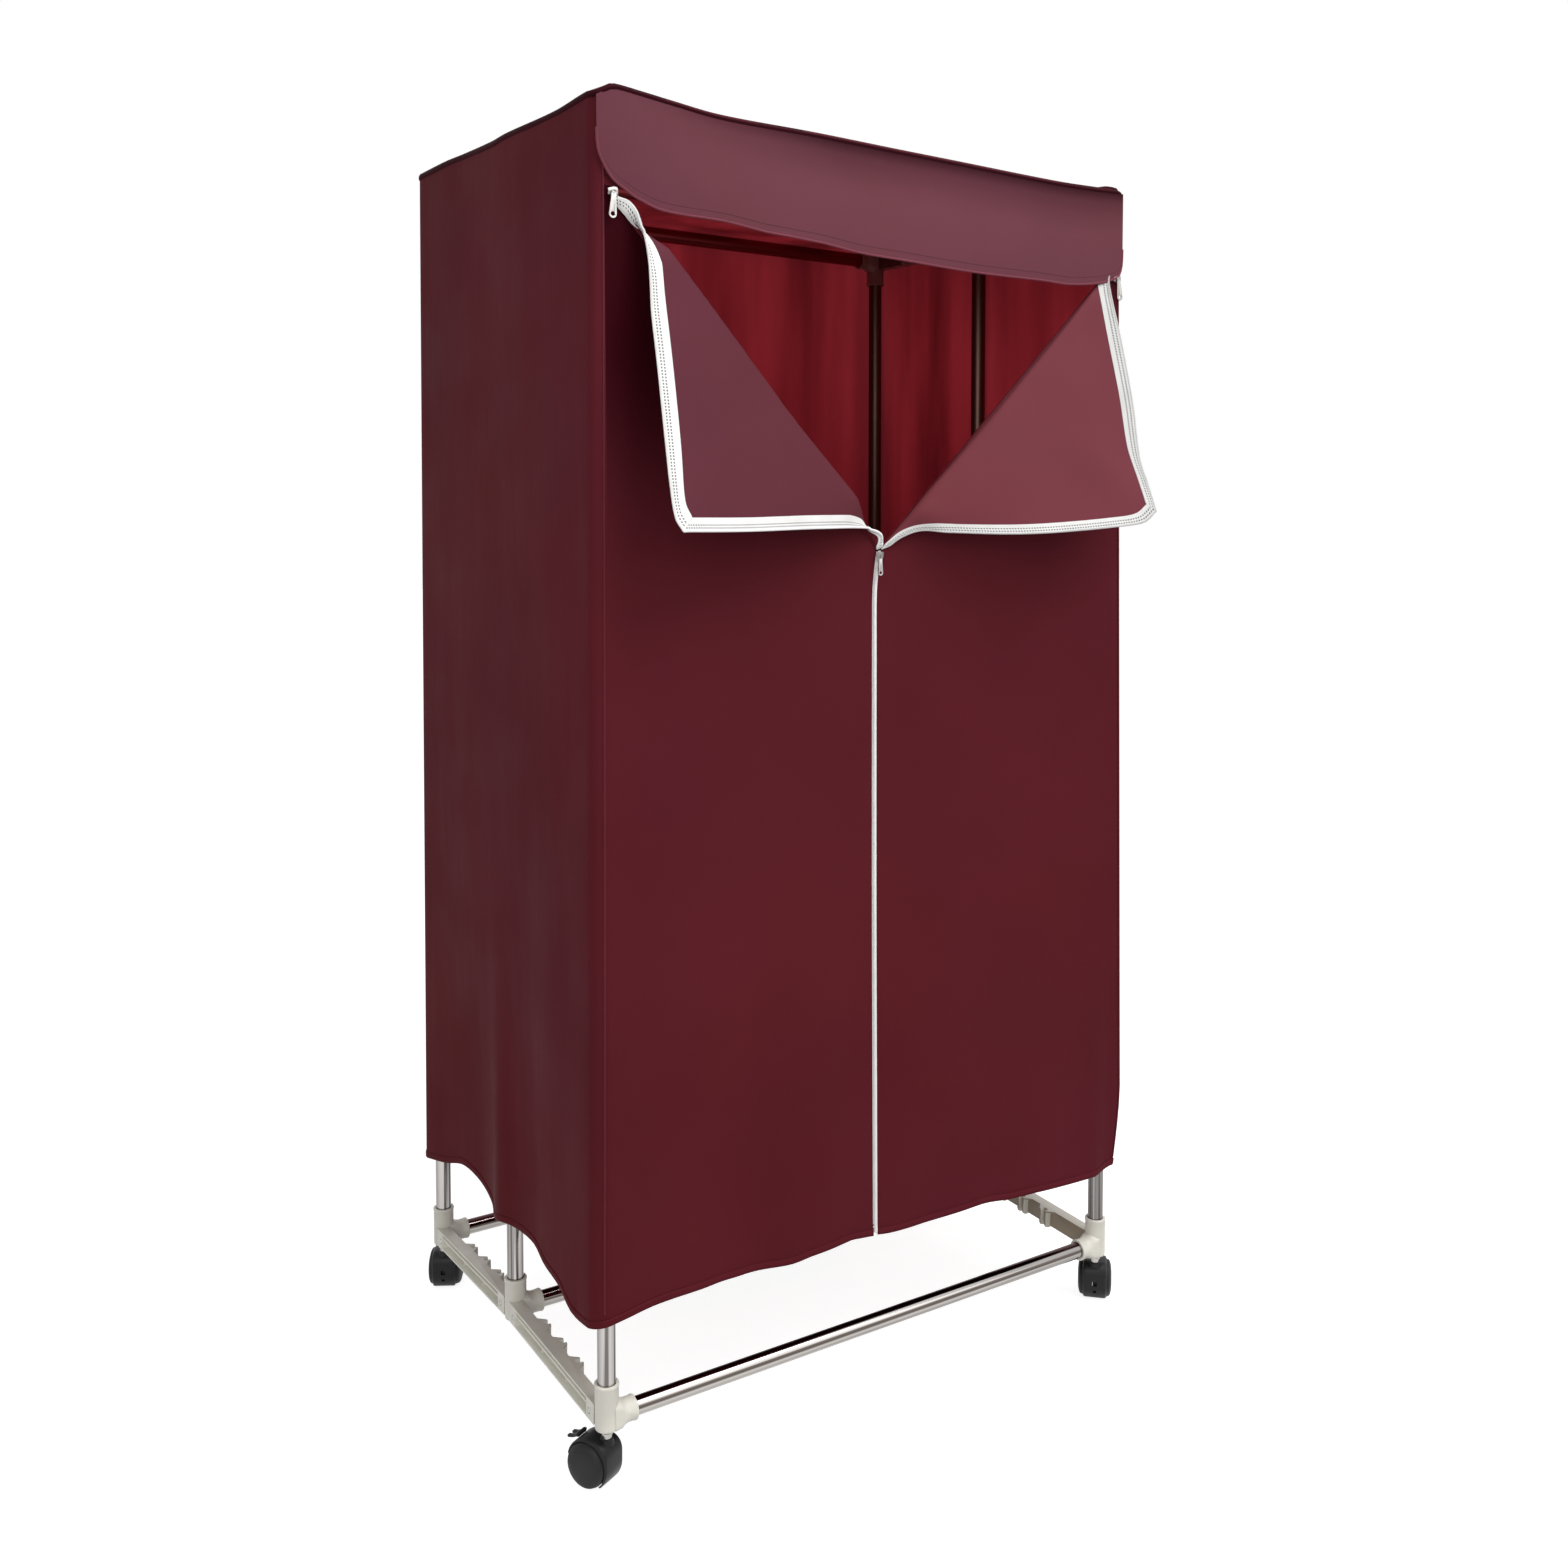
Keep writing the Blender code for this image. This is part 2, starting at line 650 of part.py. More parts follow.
# Casters, each about its stem axis with the wheels trailing along +X
def hood_outline():
    """Side view of the hood: round over the wheels, with a brow at the stem."""
    outline = arc(WHEEL_TRAIL, AXLE_Z, HOOD_RADIUS, HOOD_TRAIL_END, pi / 2, HOOD_ARC_STEPS // 2)
    lead_x = WHEEL_TRAIL - HOOD_RADIUS
    brow = HOOD_RADIUS * HOOD_BROW_SHARE
    outline += arc(lead_x + brow, HOOD_TOP - brow, brow, pi / 2, pi, HOOD_ARC_STEPS // 3)
    outline += arc(WHEEL_TRAIL, AXLE_Z, HOOD_RADIUS, pi, HOOD_LEAD_END, HOOD_ARC_STEPS // 3)
    return outline


def hood_mesh(braked):
    """Hood over both wheels, with the collar and grip of its stem; the stem axis is Z."""
    upright = turn(pi / 2, "X")
    shell = placed(plate(hood_outline(), 2 * HOOD_HALF_WIDTH), upright)
    neck_low = AXLE_Z + WHEEL_RADIUS
    collar_low = CASTER_HEIGHT - FIT_GAP - COLLAR_HEIGHT
    stem = turned_solid([
        (0, collar_low + COLLAR_HEIGHT + GRIP_LENGTH),
        (GRIP_RADIUS, collar_low + COLLAR_HEIGHT + GRIP_LENGTH),
        (GRIP_RADIUS, collar_low + COLLAR_HEIGHT), (COLLAR_RADIUS, collar_low + COLLAR_HEIGHT),
        (COLLAR_RADIUS, collar_low), (NECK_RADIUS, collar_low), (NECK_RADIUS, neck_low),
        (0, neck_low)], STEM_SIDES)
    at_axle = shift(WHEEL_TRAIL, 0, AXLE_Z)
    cavity_radius = WHEEL_RADIUS + HOOD_GAP
    cavity = cylinder(cavity_radius, HOOD_WEB / 2, HOOD_HALF_WIDTH + OVERRUN, WHEEL_SIDES)
    cuts = [placed(cavity, at_axle @ turn(way * pi / 2, "X")) for way in (-1, 1)]
    bore = cylinder(AXLE_RADIUS + FIT_GAP, -HOOD_WEB, HOOD_WEB, STEM_SIDES)
    later = [placed(bore, at_axle @ turn(pi / 2, "X"))]
    joins = [stem]
    if braked:
        hub_x, hub_z = lever_hub()
        at_hub = shift(hub_x, 0, hub_z) @ turn(pi / 2, "X")
        near = LEVER_WIDTH / 2 + FIT_GAP
        ears = [cylinder(LEVER_EAR_RADIUS, near, near + LEVER_EAR, STEM_SIDES),
                cylinder(LEVER_EAR_RADIUS, -near - LEVER_EAR, -near, STEM_SIDES)]
        joins.append(placed(gathered(ears), at_hub))
        far = near + LEVER_EAR + OVERRUN
        later.append(placed(cylinder(LEVER_PIN_RADIUS + FIT_GAP, -far, far, SCREW_SIDES), at_hub))
    else:
        half = HOOD_HOLE / 2
        hole = box((HOOD_RADIUS - HOOD_HOLE_DEPTH, -half, -half),
                   (HOOD_RADIUS + OVERRUN, half, half))
        later.append(placed(hole, at_axle @ turn(-HOOD_HOLE_ANGLE, "Y")))
    return carved(shell, joins=joins, cuts=[gathered(cuts), gathered(later)])


def wheels_mesh():
    """Two wheels on their axle, turned about Y."""
    half = [
        (0, WHEEL_FACE), (WHEEL_FACE_RADIUS, WHEEL_FACE),
        (WHEEL_SHOULDER_RADIUS, WHEEL_SHOULDER), (WHEEL_RADIUS, WHEEL_TREAD_OUTER),
        (WHEEL_RADIUS, WHEEL_INNER), (AXLE_RADIUS, WHEEL_INNER),
    ]
    profile = half + [(r, -z) for r, z in reversed(half)]
    flat_down = turn(pi / 2, "X") @ turn(pi / 2 + pi / WHEEL_SIDES, "Z")
    return placed(turned_solid(profile, WHEEL_SIDES), flat_down)


def lever_hub():
    """Centre of the brake lever's hub over the hood, in the caster's (x, z)."""
    reach = HOOD_RADIUS + LEVER_HUB_RADIUS + FIT_GAP
    return (WHEEL_TRAIL + reach * cos(LEVER_HUB_ANGLE), AXLE_Z + reach * sin(LEVER_HUB_ANGLE))


def lever_mesh():
    """Forked pedal about its hub at the origin, curving up and away from the hood."""
    hub = cylinder(LEVER_HUB_RADIUS, -LEVER_WIDTH / 2, LEVER_WIDTH / 2, SCREW_SIDES)
    pin_end = LEVER_WIDTH / 2 + FIT_GAP + LEVER_EAR
    pin = cylinder(LEVER_PIN_RADIUS, -pin_end, pin_end, SCREW_SIDES)
    bend = LEVER_REACH / LEVER_CURL
    centre = (bend * cos(LEVER_HUB_ANGLE), bend * sin(LEVER_HUB_ANGLE))
    start = pi + LEVER_HUB_ANGLE
    end = start + LEVER_CURL
    outer = arc(*centre, bend + LEVER_WALL / 2, start, end, LEVER_STEPS)
    inner = arc(*centre, bend - LEVER_WALL / 2, end, start, LEVER_STEPS)
    pedal = plate(outer + inner, LEVER_WIDTH - FIT_GAP)
    fork_x = outer[LEVER_STEPS // 2][0]
    half_fork = LEVER_WIDTH * LEVER_FORK_SHARE / 2
    fork = box((fork_x, -LEVER_REACH, -half_fork), (LEVER_REACH * 2, LEVER_REACH, half_fork))
    return placed(carved(hub, joins=[pin, pedal], cuts=[fork]), turn(pi / 2, "X"))


def build_casters():
    for end, sy in ENDS.items():
        for side, sx in SIDES.items():
            corner = f"{end}_{side}"
            heading = turn(CASTER_HEADINGS[corner], "Z")
            foot = Vector((sx * POST_X, sy * POST_Y, 0))
            braked = corner in BRAKED_CASTERS
            add_piece(f"caster_{corner}_hood", placed(hood_mesh(braked), heading),
                      "black_plastic", foot)
            axle = heading @ Vector((WHEEL_TRAIL, 0, AXLE_Z))
            add_piece(f"caster_{corner}_wheels", placed(wheels_mesh(), heading),
                      "black_plastic", foot + axle)
            if braked:
                hub_x, hub_z = lever_hub()
                hub = heading @ Vector((hub_x, 0, hub_z))
                add_piece(f"caster_{corner}_brake", placed(lever_mesh(), heading),
                          "black_plastic", foot + hub)


# Cover
def cover_share(z):
    """0 at the roof, 1 at the hem."""
    return (ROOF_TOP - z) / (ROOF_TOP - HEM_HEIGHT)


def cover_x(z):
    return COVER_TOP_X + COVER_FLARE * cover_share(z)


def cover_y(z):
    return COVER_TOP_Y + COVER_FLARE * cover_share(z)


def wave_fade(z):
    """1 at the hem, falling to 0 at WAVE_HEIGHT above it."""
    fade = max(0, 1 - (z - HEM_HEIGHT) / WAVE_HEIGHT)
    return fade * fade


def panel_top():
    return ROOF_TOP - CLOTH - FIT_GAP


def side_surface(sx):
    def surface(u, v):
        share = v
        bay = sin(SIDE_BAYS * pi * u) ** 2
        hem = HEM_HEIGHT + SIDE_HEM_ARCH * sin(pi * u) ** 2
        z = hem + (panel_top() - hem) * share
        half = cover_y(z) - FIT_GAP
        y = -sx * half * (1 - 2 * u)
        return (sx * (cover_x(z) - SIDE_WAVE * bay * wave_fade(z)), y, z)
    return surface


def back_surface(u, v):
    z = HEM_HEIGHT + (panel_top() - HEM_HEIGHT) * v
    half = cover_x(z) - FIT_GAP
    wave = BACK_WAVE * sin(pi * u) * sin(BACK_BAYS * pi * u) * wave_fade(z)
    return (half * (1 - 2 * u), cover_y(z) - wave, z)


def roof_surface(u, v):
    half_x = COVER_TOP_X + CLOTH + SEAM_LAP
    half_y = COVER_TOP_Y + CLOTH + SEAM_LAP
    sag = ROOF_SAG * sin(pi * u) ** 2 * sin(pi * v) ** 2
    return (half_x * (2 * u - 1), half_y * (2 * v - 1), ROOF_TOP - CLOTH - sag)


def front_y(x, z):
    """Inner face of the front, straight in plan from the corner in to the zip line."""
    share = abs(x) / cover_x(z)
    return -cover_y(z) * share + ZIP_LINE_Y * (1 - share)


def front_surface(sx):
    def surface(u, v):
        near = ZIP_WIDTH / 2 + FIT_GAP
        x = near + (cover_x(HEM_HEIGHT) - near) * u
        fold_share = min(1, x / FOLD_X)
        top = FOLD_BOTTOM + FOLD_DROP * fold_share
        if x >= FOLD_X:
            top = FOLD_TOP
        z = HEM_HEIGHT + (top - HEM_HEIGHT) * v
        x = min(x, cover_x(z) - FIT_GAP)
        wave = FRONT_WAVE * sin(pi * u) * sin(FRONT_BAYS * pi * u) * wave_fade(z)
        return (sx * x, front_y(x, z) + wave, z)
    return surface


def front_panel(sx):
    columns = {-1: lambda u, v: front_surface(-1)(1 - u, v), 1: front_surface(1)}
    return sheet(columns[sx], FRONT_COLUMNS, FRONT_ROWS, CLOTH)


def header_surface(u, v):
    z = HEADER_BOTTOM + (ROOF_TOP - CLOTH / 2 - HEADER_BOTTOM) * v
    half = cover_x(z) - FIT_GAP
    return (half * (2 * u - 1), -cover_y(z), z)


def roof_mesh():
    """Roof with the front header sewn to its edge and the upper halves of the top zips."""
    roof = sheet(roof_surface, ROOF_COLUMNS, ROOF_ROWS, CLOTH)
    header = sheet(header_surface, FRONT_COLUMNS, 2, CLOTH)
    tape_half = FOLD_X - TOP_TAPE_END
    tape_back = -cover_y(FOLD_TOP) + TOP_TAPE_BITE
    tape = box((-tape_half, tape_back - LAPEL_TAPE_THICKNESS, HEADER_BOTTOM - TOP_TAPE_HEIGHT),
               (tape_half, tape_back, HEADER_BOTTOM + CLOTH))
    return carved(roof, joins=[header, tape])


def build_cover():
    add_piece("cover_roof", roof_mesh(), "cover_cloth")
    add_piece("cover_left_side", sheet(side_surface(-1), SIDE_COLUMNS, SIDE_ROWS, CLOTH), "cover_cloth")
    add_piece("cover_right_side", sheet(side_surface(1), SIDE_COLUMNS, SIDE_ROWS, CLOTH), "cover_cloth")
    add_piece("cover_back", sheet(back_surface, SIDE_COLUMNS, SIDE_ROWS, CLOTH), "cover_cloth")
    add_piece("front_panel_left", front_panel(-1), "cover_cloth")
    add_piece("front_panel_right", front_panel(1), "cover_cloth")


# Front opening
def fold_frame(sx):
    """Fold line of a lapel: its top end, and the axes along, up the closed lapel and outward."""
    top = Vector((sx * FOLD_X, front_y(FOLD_X, FOLD_TOP), FOLD_TOP))
    bottom = Vector((0, front_y(0, FOLD_BOTTOM), FOLD_BOTTOM))
    corner = Vector((sx * LAPEL_GAP, -cover_y(FOLD_TOP), FOLD_TOP))
    stand_off = Vector((0, -(CLOTH + FOLD_STAND_OFF), 0))
    along = (bottom - top).normalized()
    across = (corner - top) - along * (corner - top).dot(along)
    lift = across.normalized()
    outward = along.cross(lift)
    if outward.y > 0:
        outward = -outward
    return top + stand_off, along, lift, outward, (bottom - top).length, corner - top


def lapel_triangle(sx):
    """Corners of the closed lapel in its own plane: along the fold, and up from it."""
    _, along, lift, _, length, corner = fold_frame(sx)
    return (0, 0), (length, 0), (corner.dot(along), corner.dot(lift))


def inset_point(a, b, c, first, second):
    """Corner b of a path a-b-c moved inward by a distance from each of its two edges."""
    ab = (Vector(b) - Vector(a)).normalized()
    cb = (Vector(b) - Vector(c)).normalized()
    sine = abs(ab.cross(cb))
    return tuple(Vector(b) - ab * (second / sine) - cb * (first / sine))


def lapel_place(sx):
    """Placement of lapel coordinates (along, up, outward) folded open."""
    _, along, lift, outward, _, _ = fold_frame(sx)
    folded_lift = lift * cos(FOLD_ANGLE) + outward * sin(FOLD_ANGLE)
    folded_out = along.cross(folded_lift)
    place = Matrix((along, folded_lift, folded_out)).transposed().to_4x4()
    return place


def lapel_outline(sx):
    top, bottom, corner = lapel_triangle(sx)
    edge = LAPEL_TAPE_WIDTH / 2
    tip = inset_point(top, corner, bottom, edge, edge)
    low = inset_point(corner, bottom, top, edge, FOLD_CLEAR)
    high = inset_point(corner, top, bottom, edge, FOLD_CLEAR)
    return [high, low, tip]


def tape_outline(sx):
    """L-shaped tape along the two free edges of a lapel, cut off square near the fold."""
    top, bottom, corner = lapel_triangle(sx)
    inner = inset_point(top, corner, bottom, LAPEL_TAPE_WIDTH, LAPEL_TAPE_WIDTH)
    points = [corner]
    for end in (top, bottom):
        leg = (Vector(end) - Vector(corner)).normalized()
        run = (Vector(end) - Vector(corner)).length - LAPEL_SIDES_TRIM
        side = Vector((-leg.y, leg.x))
        if side.dot(Vector(inner) - Vector(corner)) < 0:
            side = -side
        outer_end = Vector(corner) + leg * run
        inner_run = run - LAPEL_TAPE_WIDTH
        inner_end = Vector(corner) + leg * inner_run + side * LAPEL_TAPE_WIDTH
        points.append((outer_end, inner_end))
    (outer_top, inner_top), (outer_low, inner_low) = points[1], points[2]
    return [corner, tuple(outer_top), tuple(inner_top), inner, tuple(inner_low), tuple(outer_low)]


def slider_mesh():
    """Slider body in the XZ plane facing -Y, its back face on y = 0, with an eye bar for the pull."""
    half = SLIDER_WIDTH / 2
    nose = SLIDER_NOSE / 2
    low = -SLIDER_HEIGHT / 2
    body = plate([(-nose, low), (nose, low), (half, 0), (half, -low), (-half, -low), (-half, 0)],
                 SLIDER_THICKNESS)
    upright = turn(pi / 2, "X")
    body = placed(body, shift(y=-SLIDER_THICKNESS / 2) @ upright)
    ear_low = SLIDER_THICKNESS / 2
    ear_high = SLIDER_THICKNESS + EYE_BAR_STAND + EYE_EAR / 2
    ears = []
    for way in (-1, 1):
        middle = way * (EYE_SPAN + EYE_EAR) / 2
        ears.append(box((middle - EYE_EAR / 2, -ear_high, -EYE_EAR),
                        (middle + EYE_EAR / 2, -ear_low, EYE_EAR)))
    half_bar = EYE_SPAN / 2 + EYE_EAR / 2
    bar = placed(cylinder(EYE_BAR_RADIUS, -half_bar, half_bar, SCREW_SIDES),
                 shift(y=-SLIDER_THICKNESS - EYE_BAR_STAND) @ turn(pi / 2, "Y"))
    return carved(body, joins=[gathered(ears), bar])


def pull_mesh():
    """Pull tab hanging in the XZ plane from a barrel on the eye bar, which is the origin."""
    half = PULL_WIDTH / 2
    low = -PULL_LENGTH
    waist = half * PULL_WAIST_SHARE
    neck = low * PULL_NECK_SHARE
    shoulder = low * PULL_SHOULDER_SHARE
    outline = [
        (-half, 0), (-waist, neck), (-half, shoulder), (-half, low + half), (-waist, low),
        (waist, low), (half, low + half), (half, shoulder), (waist, neck), (half, 0),
    ]
    tab = placed(plate(outline, PULL_THICKNESS), turn(pi / 2, "X"))
    half_barrel = EYE_SPAN / 2 - FIT_GAP
    across = turn(pi / 2, "Y")
    barrel = placed(cylinder(PULL_BARREL, -half_barrel, half_barrel, SCREW_SIDES), across)
    bore = placed(cylinder(EYE_BAR_RADIUS + FIT_GAP, -EYE_SPAN, EYE_SPAN, SCREW_SIDES), across)
    return carved(tab, joins=[barrel], cuts=[bore])


def valance_outline():
    """Front view: a strip hanging down from z = 0 with large rounded lower ends."""
    half = COVER_TOP_X - VALANCE_INSET
    points = [(half, 0), (-half, 0)]
    for way, order in ((-1, 1), (1, -1)):
        turn_points = []
        for i in range(VALANCE_ARC_STEPS + 1):
            angle = pi / 2 * i / VALANCE_ARC_STEPS
            x = half - VALANCE_ROUND_X * (1 - cos(angle))
            z = -VALANCE_DROP + VALANCE_ROUND_Z * (1 - sin(angle))
            turn_points.append((way * x, z))
        points += turn_points[::order]
    return points


def build_front_opening():
    zip_top = FOLD_BOTTOM - ZIP_TOP_DROP
    zip_back = ZIP_LINE_Y + (ZIP_THICKNESS - CLOTH) / 2
    chain = box((-ZIP_WIDTH / 2, zip_back - ZIP_THICKNESS, HEM_HEIGHT),
                (ZIP_WIDTH / 2, zip_back, zip_top))
    add_piece("zip_chain", chain, "white_zip")
    slider_at = Vector((0, zip_back - ZIP_THICKNESS - FIT_GAP, zip_top - SLIDER_HEIGHT / 2))
    bar_out = Vector((0, -SLIDER_THICKNESS - EYE_BAR_STAND, 0))
    add_piece("zip_slider", slider_mesh(), "zinc", slider_at)
    add_piece("zip_pull", pull_mesh(), "zinc", slider_at + bar_out)
    for side, sx in SIDES.items():
        cloth = plate(lapel_outline(sx), CLOTH)
        edge = plate(tape_outline(sx), LAPEL_TAPE_THICKNESS)
        lapel = placed(carved(cloth, joins=[edge]), lapel_place(sx))
        add_piece(f"front_lapel_{side}", lapel, "cover_cloth", fold_frame(sx)[0])
    valance = placed(plate(valance_outline(), CLOTH), turn(pi / 2, "X"))
    hang = (0, -COVER_TOP_Y - CLOTH - VALANCE_STAND - CLOTH / 2, ROOF_TOP)
    add_piece("front_valance", valance, "cover_cloth", hang)


# Fan heater
def housing_outline(inset):
    """Plan of the housing with rounded corners, drawn in by inset."""
    half = HEATER_WIDTH / 2 - inset
    front = HEATER_FRONT + inset
    back = HEATER_BACK - inset
    radius = HEATER_CORNER - inset
    steps = HEATER_CORNER_STEPS
    return (arc(half - radius, front + radius, radius, -pi / 2, 0, steps)
            + arc(half - radius, back - radius, radius, 0, pi / 2, steps)
            + arc(-half + radius, back - radius, radius, pi / 2, pi, steps)
            + arc(-half + radius, front + radius, radius, pi, 3 * pi / 2, steps))


def prism(outline, low, high):
    return placed(plate(outline, high - low), shift(z=(low + high) / 2))


def lofted_dome(inset, low, high, crown):
    """A closed solid with the housing's plan, drawn in over its crown along a quarter round."""
    work = bmesh.new()
    rings = [(0, low), (0, high - crown)]
    for i in range(1, HEATER_CROWN_STEPS + 1):
        angle = pi / 2 * i / HEATER_CROWN_STEPS
        rings.append((crown * (1 - cos(angle)), high - crown + crown * sin(angle)))
    loops = []
    for draw_in, z in rings:
        loop = [work.verts.new((x, y, z)) for x, y in housing_outline(inset + draw_in)]
        loops.append(loop)
    count = len(loops[0])
    for lower, upper in zip(loops, loops[1:]):
        for i in range(count):
            j = (i + 1) % count
            work.faces.new((lower[i], lower[j], upper[j], upper[i]))
    work.faces.new(list(reversed(loops[0])))
    work.faces.new(loops[-1])
    mesh = bpy.data.meshes.new("dome")
    work.to_mesh(mesh)
    work.free()
    return mesh


def build_heater():
    middle_y = (HEATER_FRONT + HEATER_BACK) / 2
    floor = HEATER_BOTTOM + HEATER_WALL
    saddles = []
    grooves = []
    for y, rise in ((0, TEE_RISE), (POST_Y, 0)):
        tube_z = BASE_TUBE_Z + rise
        groove = cylinder(TUBE_RADIUS + FIT_GAP, -HEATER_WIDTH, HEATER_WIDTH, TUBE_SIDES)
        grooves.append(placed(groove, shift(y=y, z=tube_z) @ turn(pi / 2, "Y")))
        for way in (-1, 1):
            x = way * SADDLE_X
            near = y - SADDLE_LENGTH / 2
            far = y + SADDLE_LENGTH / 2
            if y > middle_y:
                near -= SADDLE_LENGTH / 2
                far = y
            else:
                far += SADDLE_LENGTH / 2
                near = y
            saddles.append(box((x - SADDLE_WIDTH / 2, near, tube_z - SADDLE_GRIP),
                               (x + SADDLE_WIDTH / 2, far, HEATER_BOTTOM + HEATER_WALL / 2)))
    intakes = []
    for i in range(INTAKE_COUNT):
        x = (i - (INTAKE_COUNT - 1) / 2) * VENT_PITCH
        intakes.append(box((x - VENT_SLOT / 2, middle_y - INTAKE_LENGTH, HEATER_BOTTOM - OVERRUN),
                           (x + VENT_SLOT / 2, middle_y - MOTOR_RADIUS - OVERRUN, floor + OVERRUN)))
        intakes.append(box((x - VENT_SLOT / 2, middle_y + MOTOR_RADIUS + OVERRUN, HEATER_BOTTOM - OVERRUN),
                           (x + VENT_SLOT / 2, middle_y + INTAKE_LENGTH, floor + OVERRUN)))
    control_z = (HEATER_BOTTOM + HEATER_SPLIT) / 2
    knob_hole = cylinder(KNOB_SHAFT_RADIUS + FIT_GAP, -OVERRUN, HEATER_WALL + OVERRUN, INLET_SIDES)
    inlet_hole = cylinder(INLET_BORE, -OVERRUN, HEATER_WALL + INLET_LENGTH + OVERRUN, INLET_SIDES)
    into = turn(-pi / 2, "X")
    inlet_place = shift(INLET_X, HEATER_BACK - HEATER_WALL, control_z) @ into
    holes = [placed(knob_hole, shift(KNOB_X, HEATER_FRONT, control_z) @ into),
             placed(inlet_hole, inlet_place)]
    inlet = turned_solid([
        (0, HEATER_WALL + INLET_LENGTH), (INLET_TIP_RADIUS, HEATER_WALL + INLET_LENGTH),
        (INLET_RADIUS, HEATER_WALL / 2), (0, HEATER_WALL / 2)], INLET_SIDES)
    tray = prism(housing_outline(0), HEATER_BOTTOM, HEATER_SPLIT)
    hollow = prism(housing_outline(HEATER_WALL), floor, HEATER_SPLIT + OVERRUN)
    lower = carved(tray, joins=[gathered(saddles), placed(inlet, inlet_place)],
                   cuts=[hollow, gathered(grooves), gathered(intakes), gathered(holes)])
    add_piece("heater_lower_housing", lower, "heater_shell")

    seat = HEATER_SPLIT + FIT_GAP
    dome = lofted_dome(0, seat, HEATER_TOP, HEATER_CROWN)
    inside = lofted_dome(HEATER_WALL, seat - OVERRUN, HEATER_TOP - HEATER_WALL, HEATER_CROWN)
    slots = []
    for i in range(VENT_COUNT):
        x = (i - (VENT_COUNT - 1) / 2) * VENT_PITCH
        slots.append(box((x - VENT_SLOT / 2, middle_y - VENT_LENGTH / 2, HEATER_TOP - HEATER_CROWN),
                         (x + VENT_SLOT / 2, middle_y + VENT_LENGTH / 2, HEATER_TOP + OVERRUN)))
    upper = carved(dome, cuts=[inside, gathered(slots)])
    add_piece("heater_upper_housing", upper, "heater_shell")

    motor_foot = floor + FIT_GAP
    shaft_top = MOTOR_HEIGHT + MOTOR_SHAFT_LENGTH
    motor = turned_solid([
        (0, shaft_top), (MOTOR_SHAFT_RADIUS, shaft_top), (MOTOR_SHAFT_RADIUS, MOTOR_HEIGHT),
        (MOTOR_RADIUS * MOTOR_CROWN_SHARE, MOTOR_HEIGHT),
        (MOTOR_RADIUS, MOTOR_HEIGHT * MOTOR_SHOULDER_SHARE),
        (MOTOR_RADIUS, 0), (0, 0)], MOTOR_SIDES)
    add_piece("heater_motor", motor, "motor_steel", (0, middle_y, motor_foot))

    hub_low = -IMPELLER_HUB_HEIGHT / 2
    hub = turned_solid([
        (0, -hub_low), (IMPELLER_HUB_RADIUS * HUB_CROWN_SHARE, -hub_low),
        (IMPELLER_HUB_RADIUS, -hub_low * HUB_SHOULDER_SHARE),
        (IMPELLER_HUB_RADIUS, hub_low), (0, hub_low)], MOTOR_SIDES)
    blades = []
    span = IMPELLER_RADIUS - IMPELLER_HUB_RADIUS / 2
    chord = IMPELLER_HUB_HEIGHT * BLADE_CHORD_SHARE
    root = chord * BLADE_ROOT_SHARE
    shape = [(0, -root), (span, -chord * BLADE_TRAIL_SHARE), (span, chord * BLADE_LEAD_SHARE), (0, root)]
    pitched = shift(IMPELLER_HUB_RADIUS / 2) @ turn(BLADE_PITCH, "X")
    for i in range(IMPELLER_BLADES):
        blade = placed(plate(shape, BLADE_THICKNESS), pitched)
        blades.append(placed(blade, turn(2 * pi * i / IMPELLER_BLADES, "Z")))
    bore_top = -hub_low * HUB_BORE_SHARE
    shaft_bore = cylinder(MOTOR_SHAFT_RADIUS + FIT_GAP, hub_low - OVERRUN, bore_top, INLET_SIDES)
    fan = carved(hub, joins=blades, cuts=[shaft_bore])
    fan_z = motor_foot + shaft_top + FIT_GAP - bore_top
    add_piece("heater_impeller", fan, "heater_dark", (0, middle_y, fan_z))

    half_w = ELEMENT_WIDTH / 2
    half_d = ELEMENT_DEPTH / 2
    rim = box((-half_w, -half_d, 0), (half_w, half_d, ELEMENT_HEIGHT))
    window = box((-half_w + ELEMENT_RIM, -half_d + ELEMENT_RIM, -OVERRUN),
                 (half_w - ELEMENT_RIM, half_d - ELEMENT_RIM, ELEMENT_HEIGHT + OVERRUN))
    fins = []
    legs = []
    fin_pitch = (ELEMENT_WIDTH - 2 * ELEMENT_RIM) / (ELEMENT_FINS + 1)
    for i in range(ELEMENT_FINS):
        x = (i - (ELEMENT_FINS - 1) / 2) * fin_pitch
        reach = half_d - ELEMENT_RIM / 2
        fins.append(box((x - ELEMENT_FIN / 2, -reach, ELEMENT_FIN_INSET),
                        (x + ELEMENT_FIN / 2, reach, ELEMENT_HEIGHT - ELEMENT_FIN_INSET)))
    for wx in (-1, 1):
        for wy in (-1, 1):
            leg = cylinder(ELEMENT_LEG, -ELEMENT_LIFT, ELEMENT_HEIGHT / 2, SCREW_SIDES)
            legs.append(placed(leg, shift(wx * (half_w - ELEMENT_RIM / 2), wy * (half_d - ELEMENT_RIM / 2))))
    frame = carved(rim, cuts=[window])
    element = carved(frame, joins=[gathered(fins), gathered(legs)])
    add_piece("heater_element", element, "element_metal", (0, middle_y, floor + FIT_GAP + ELEMENT_LIFT))

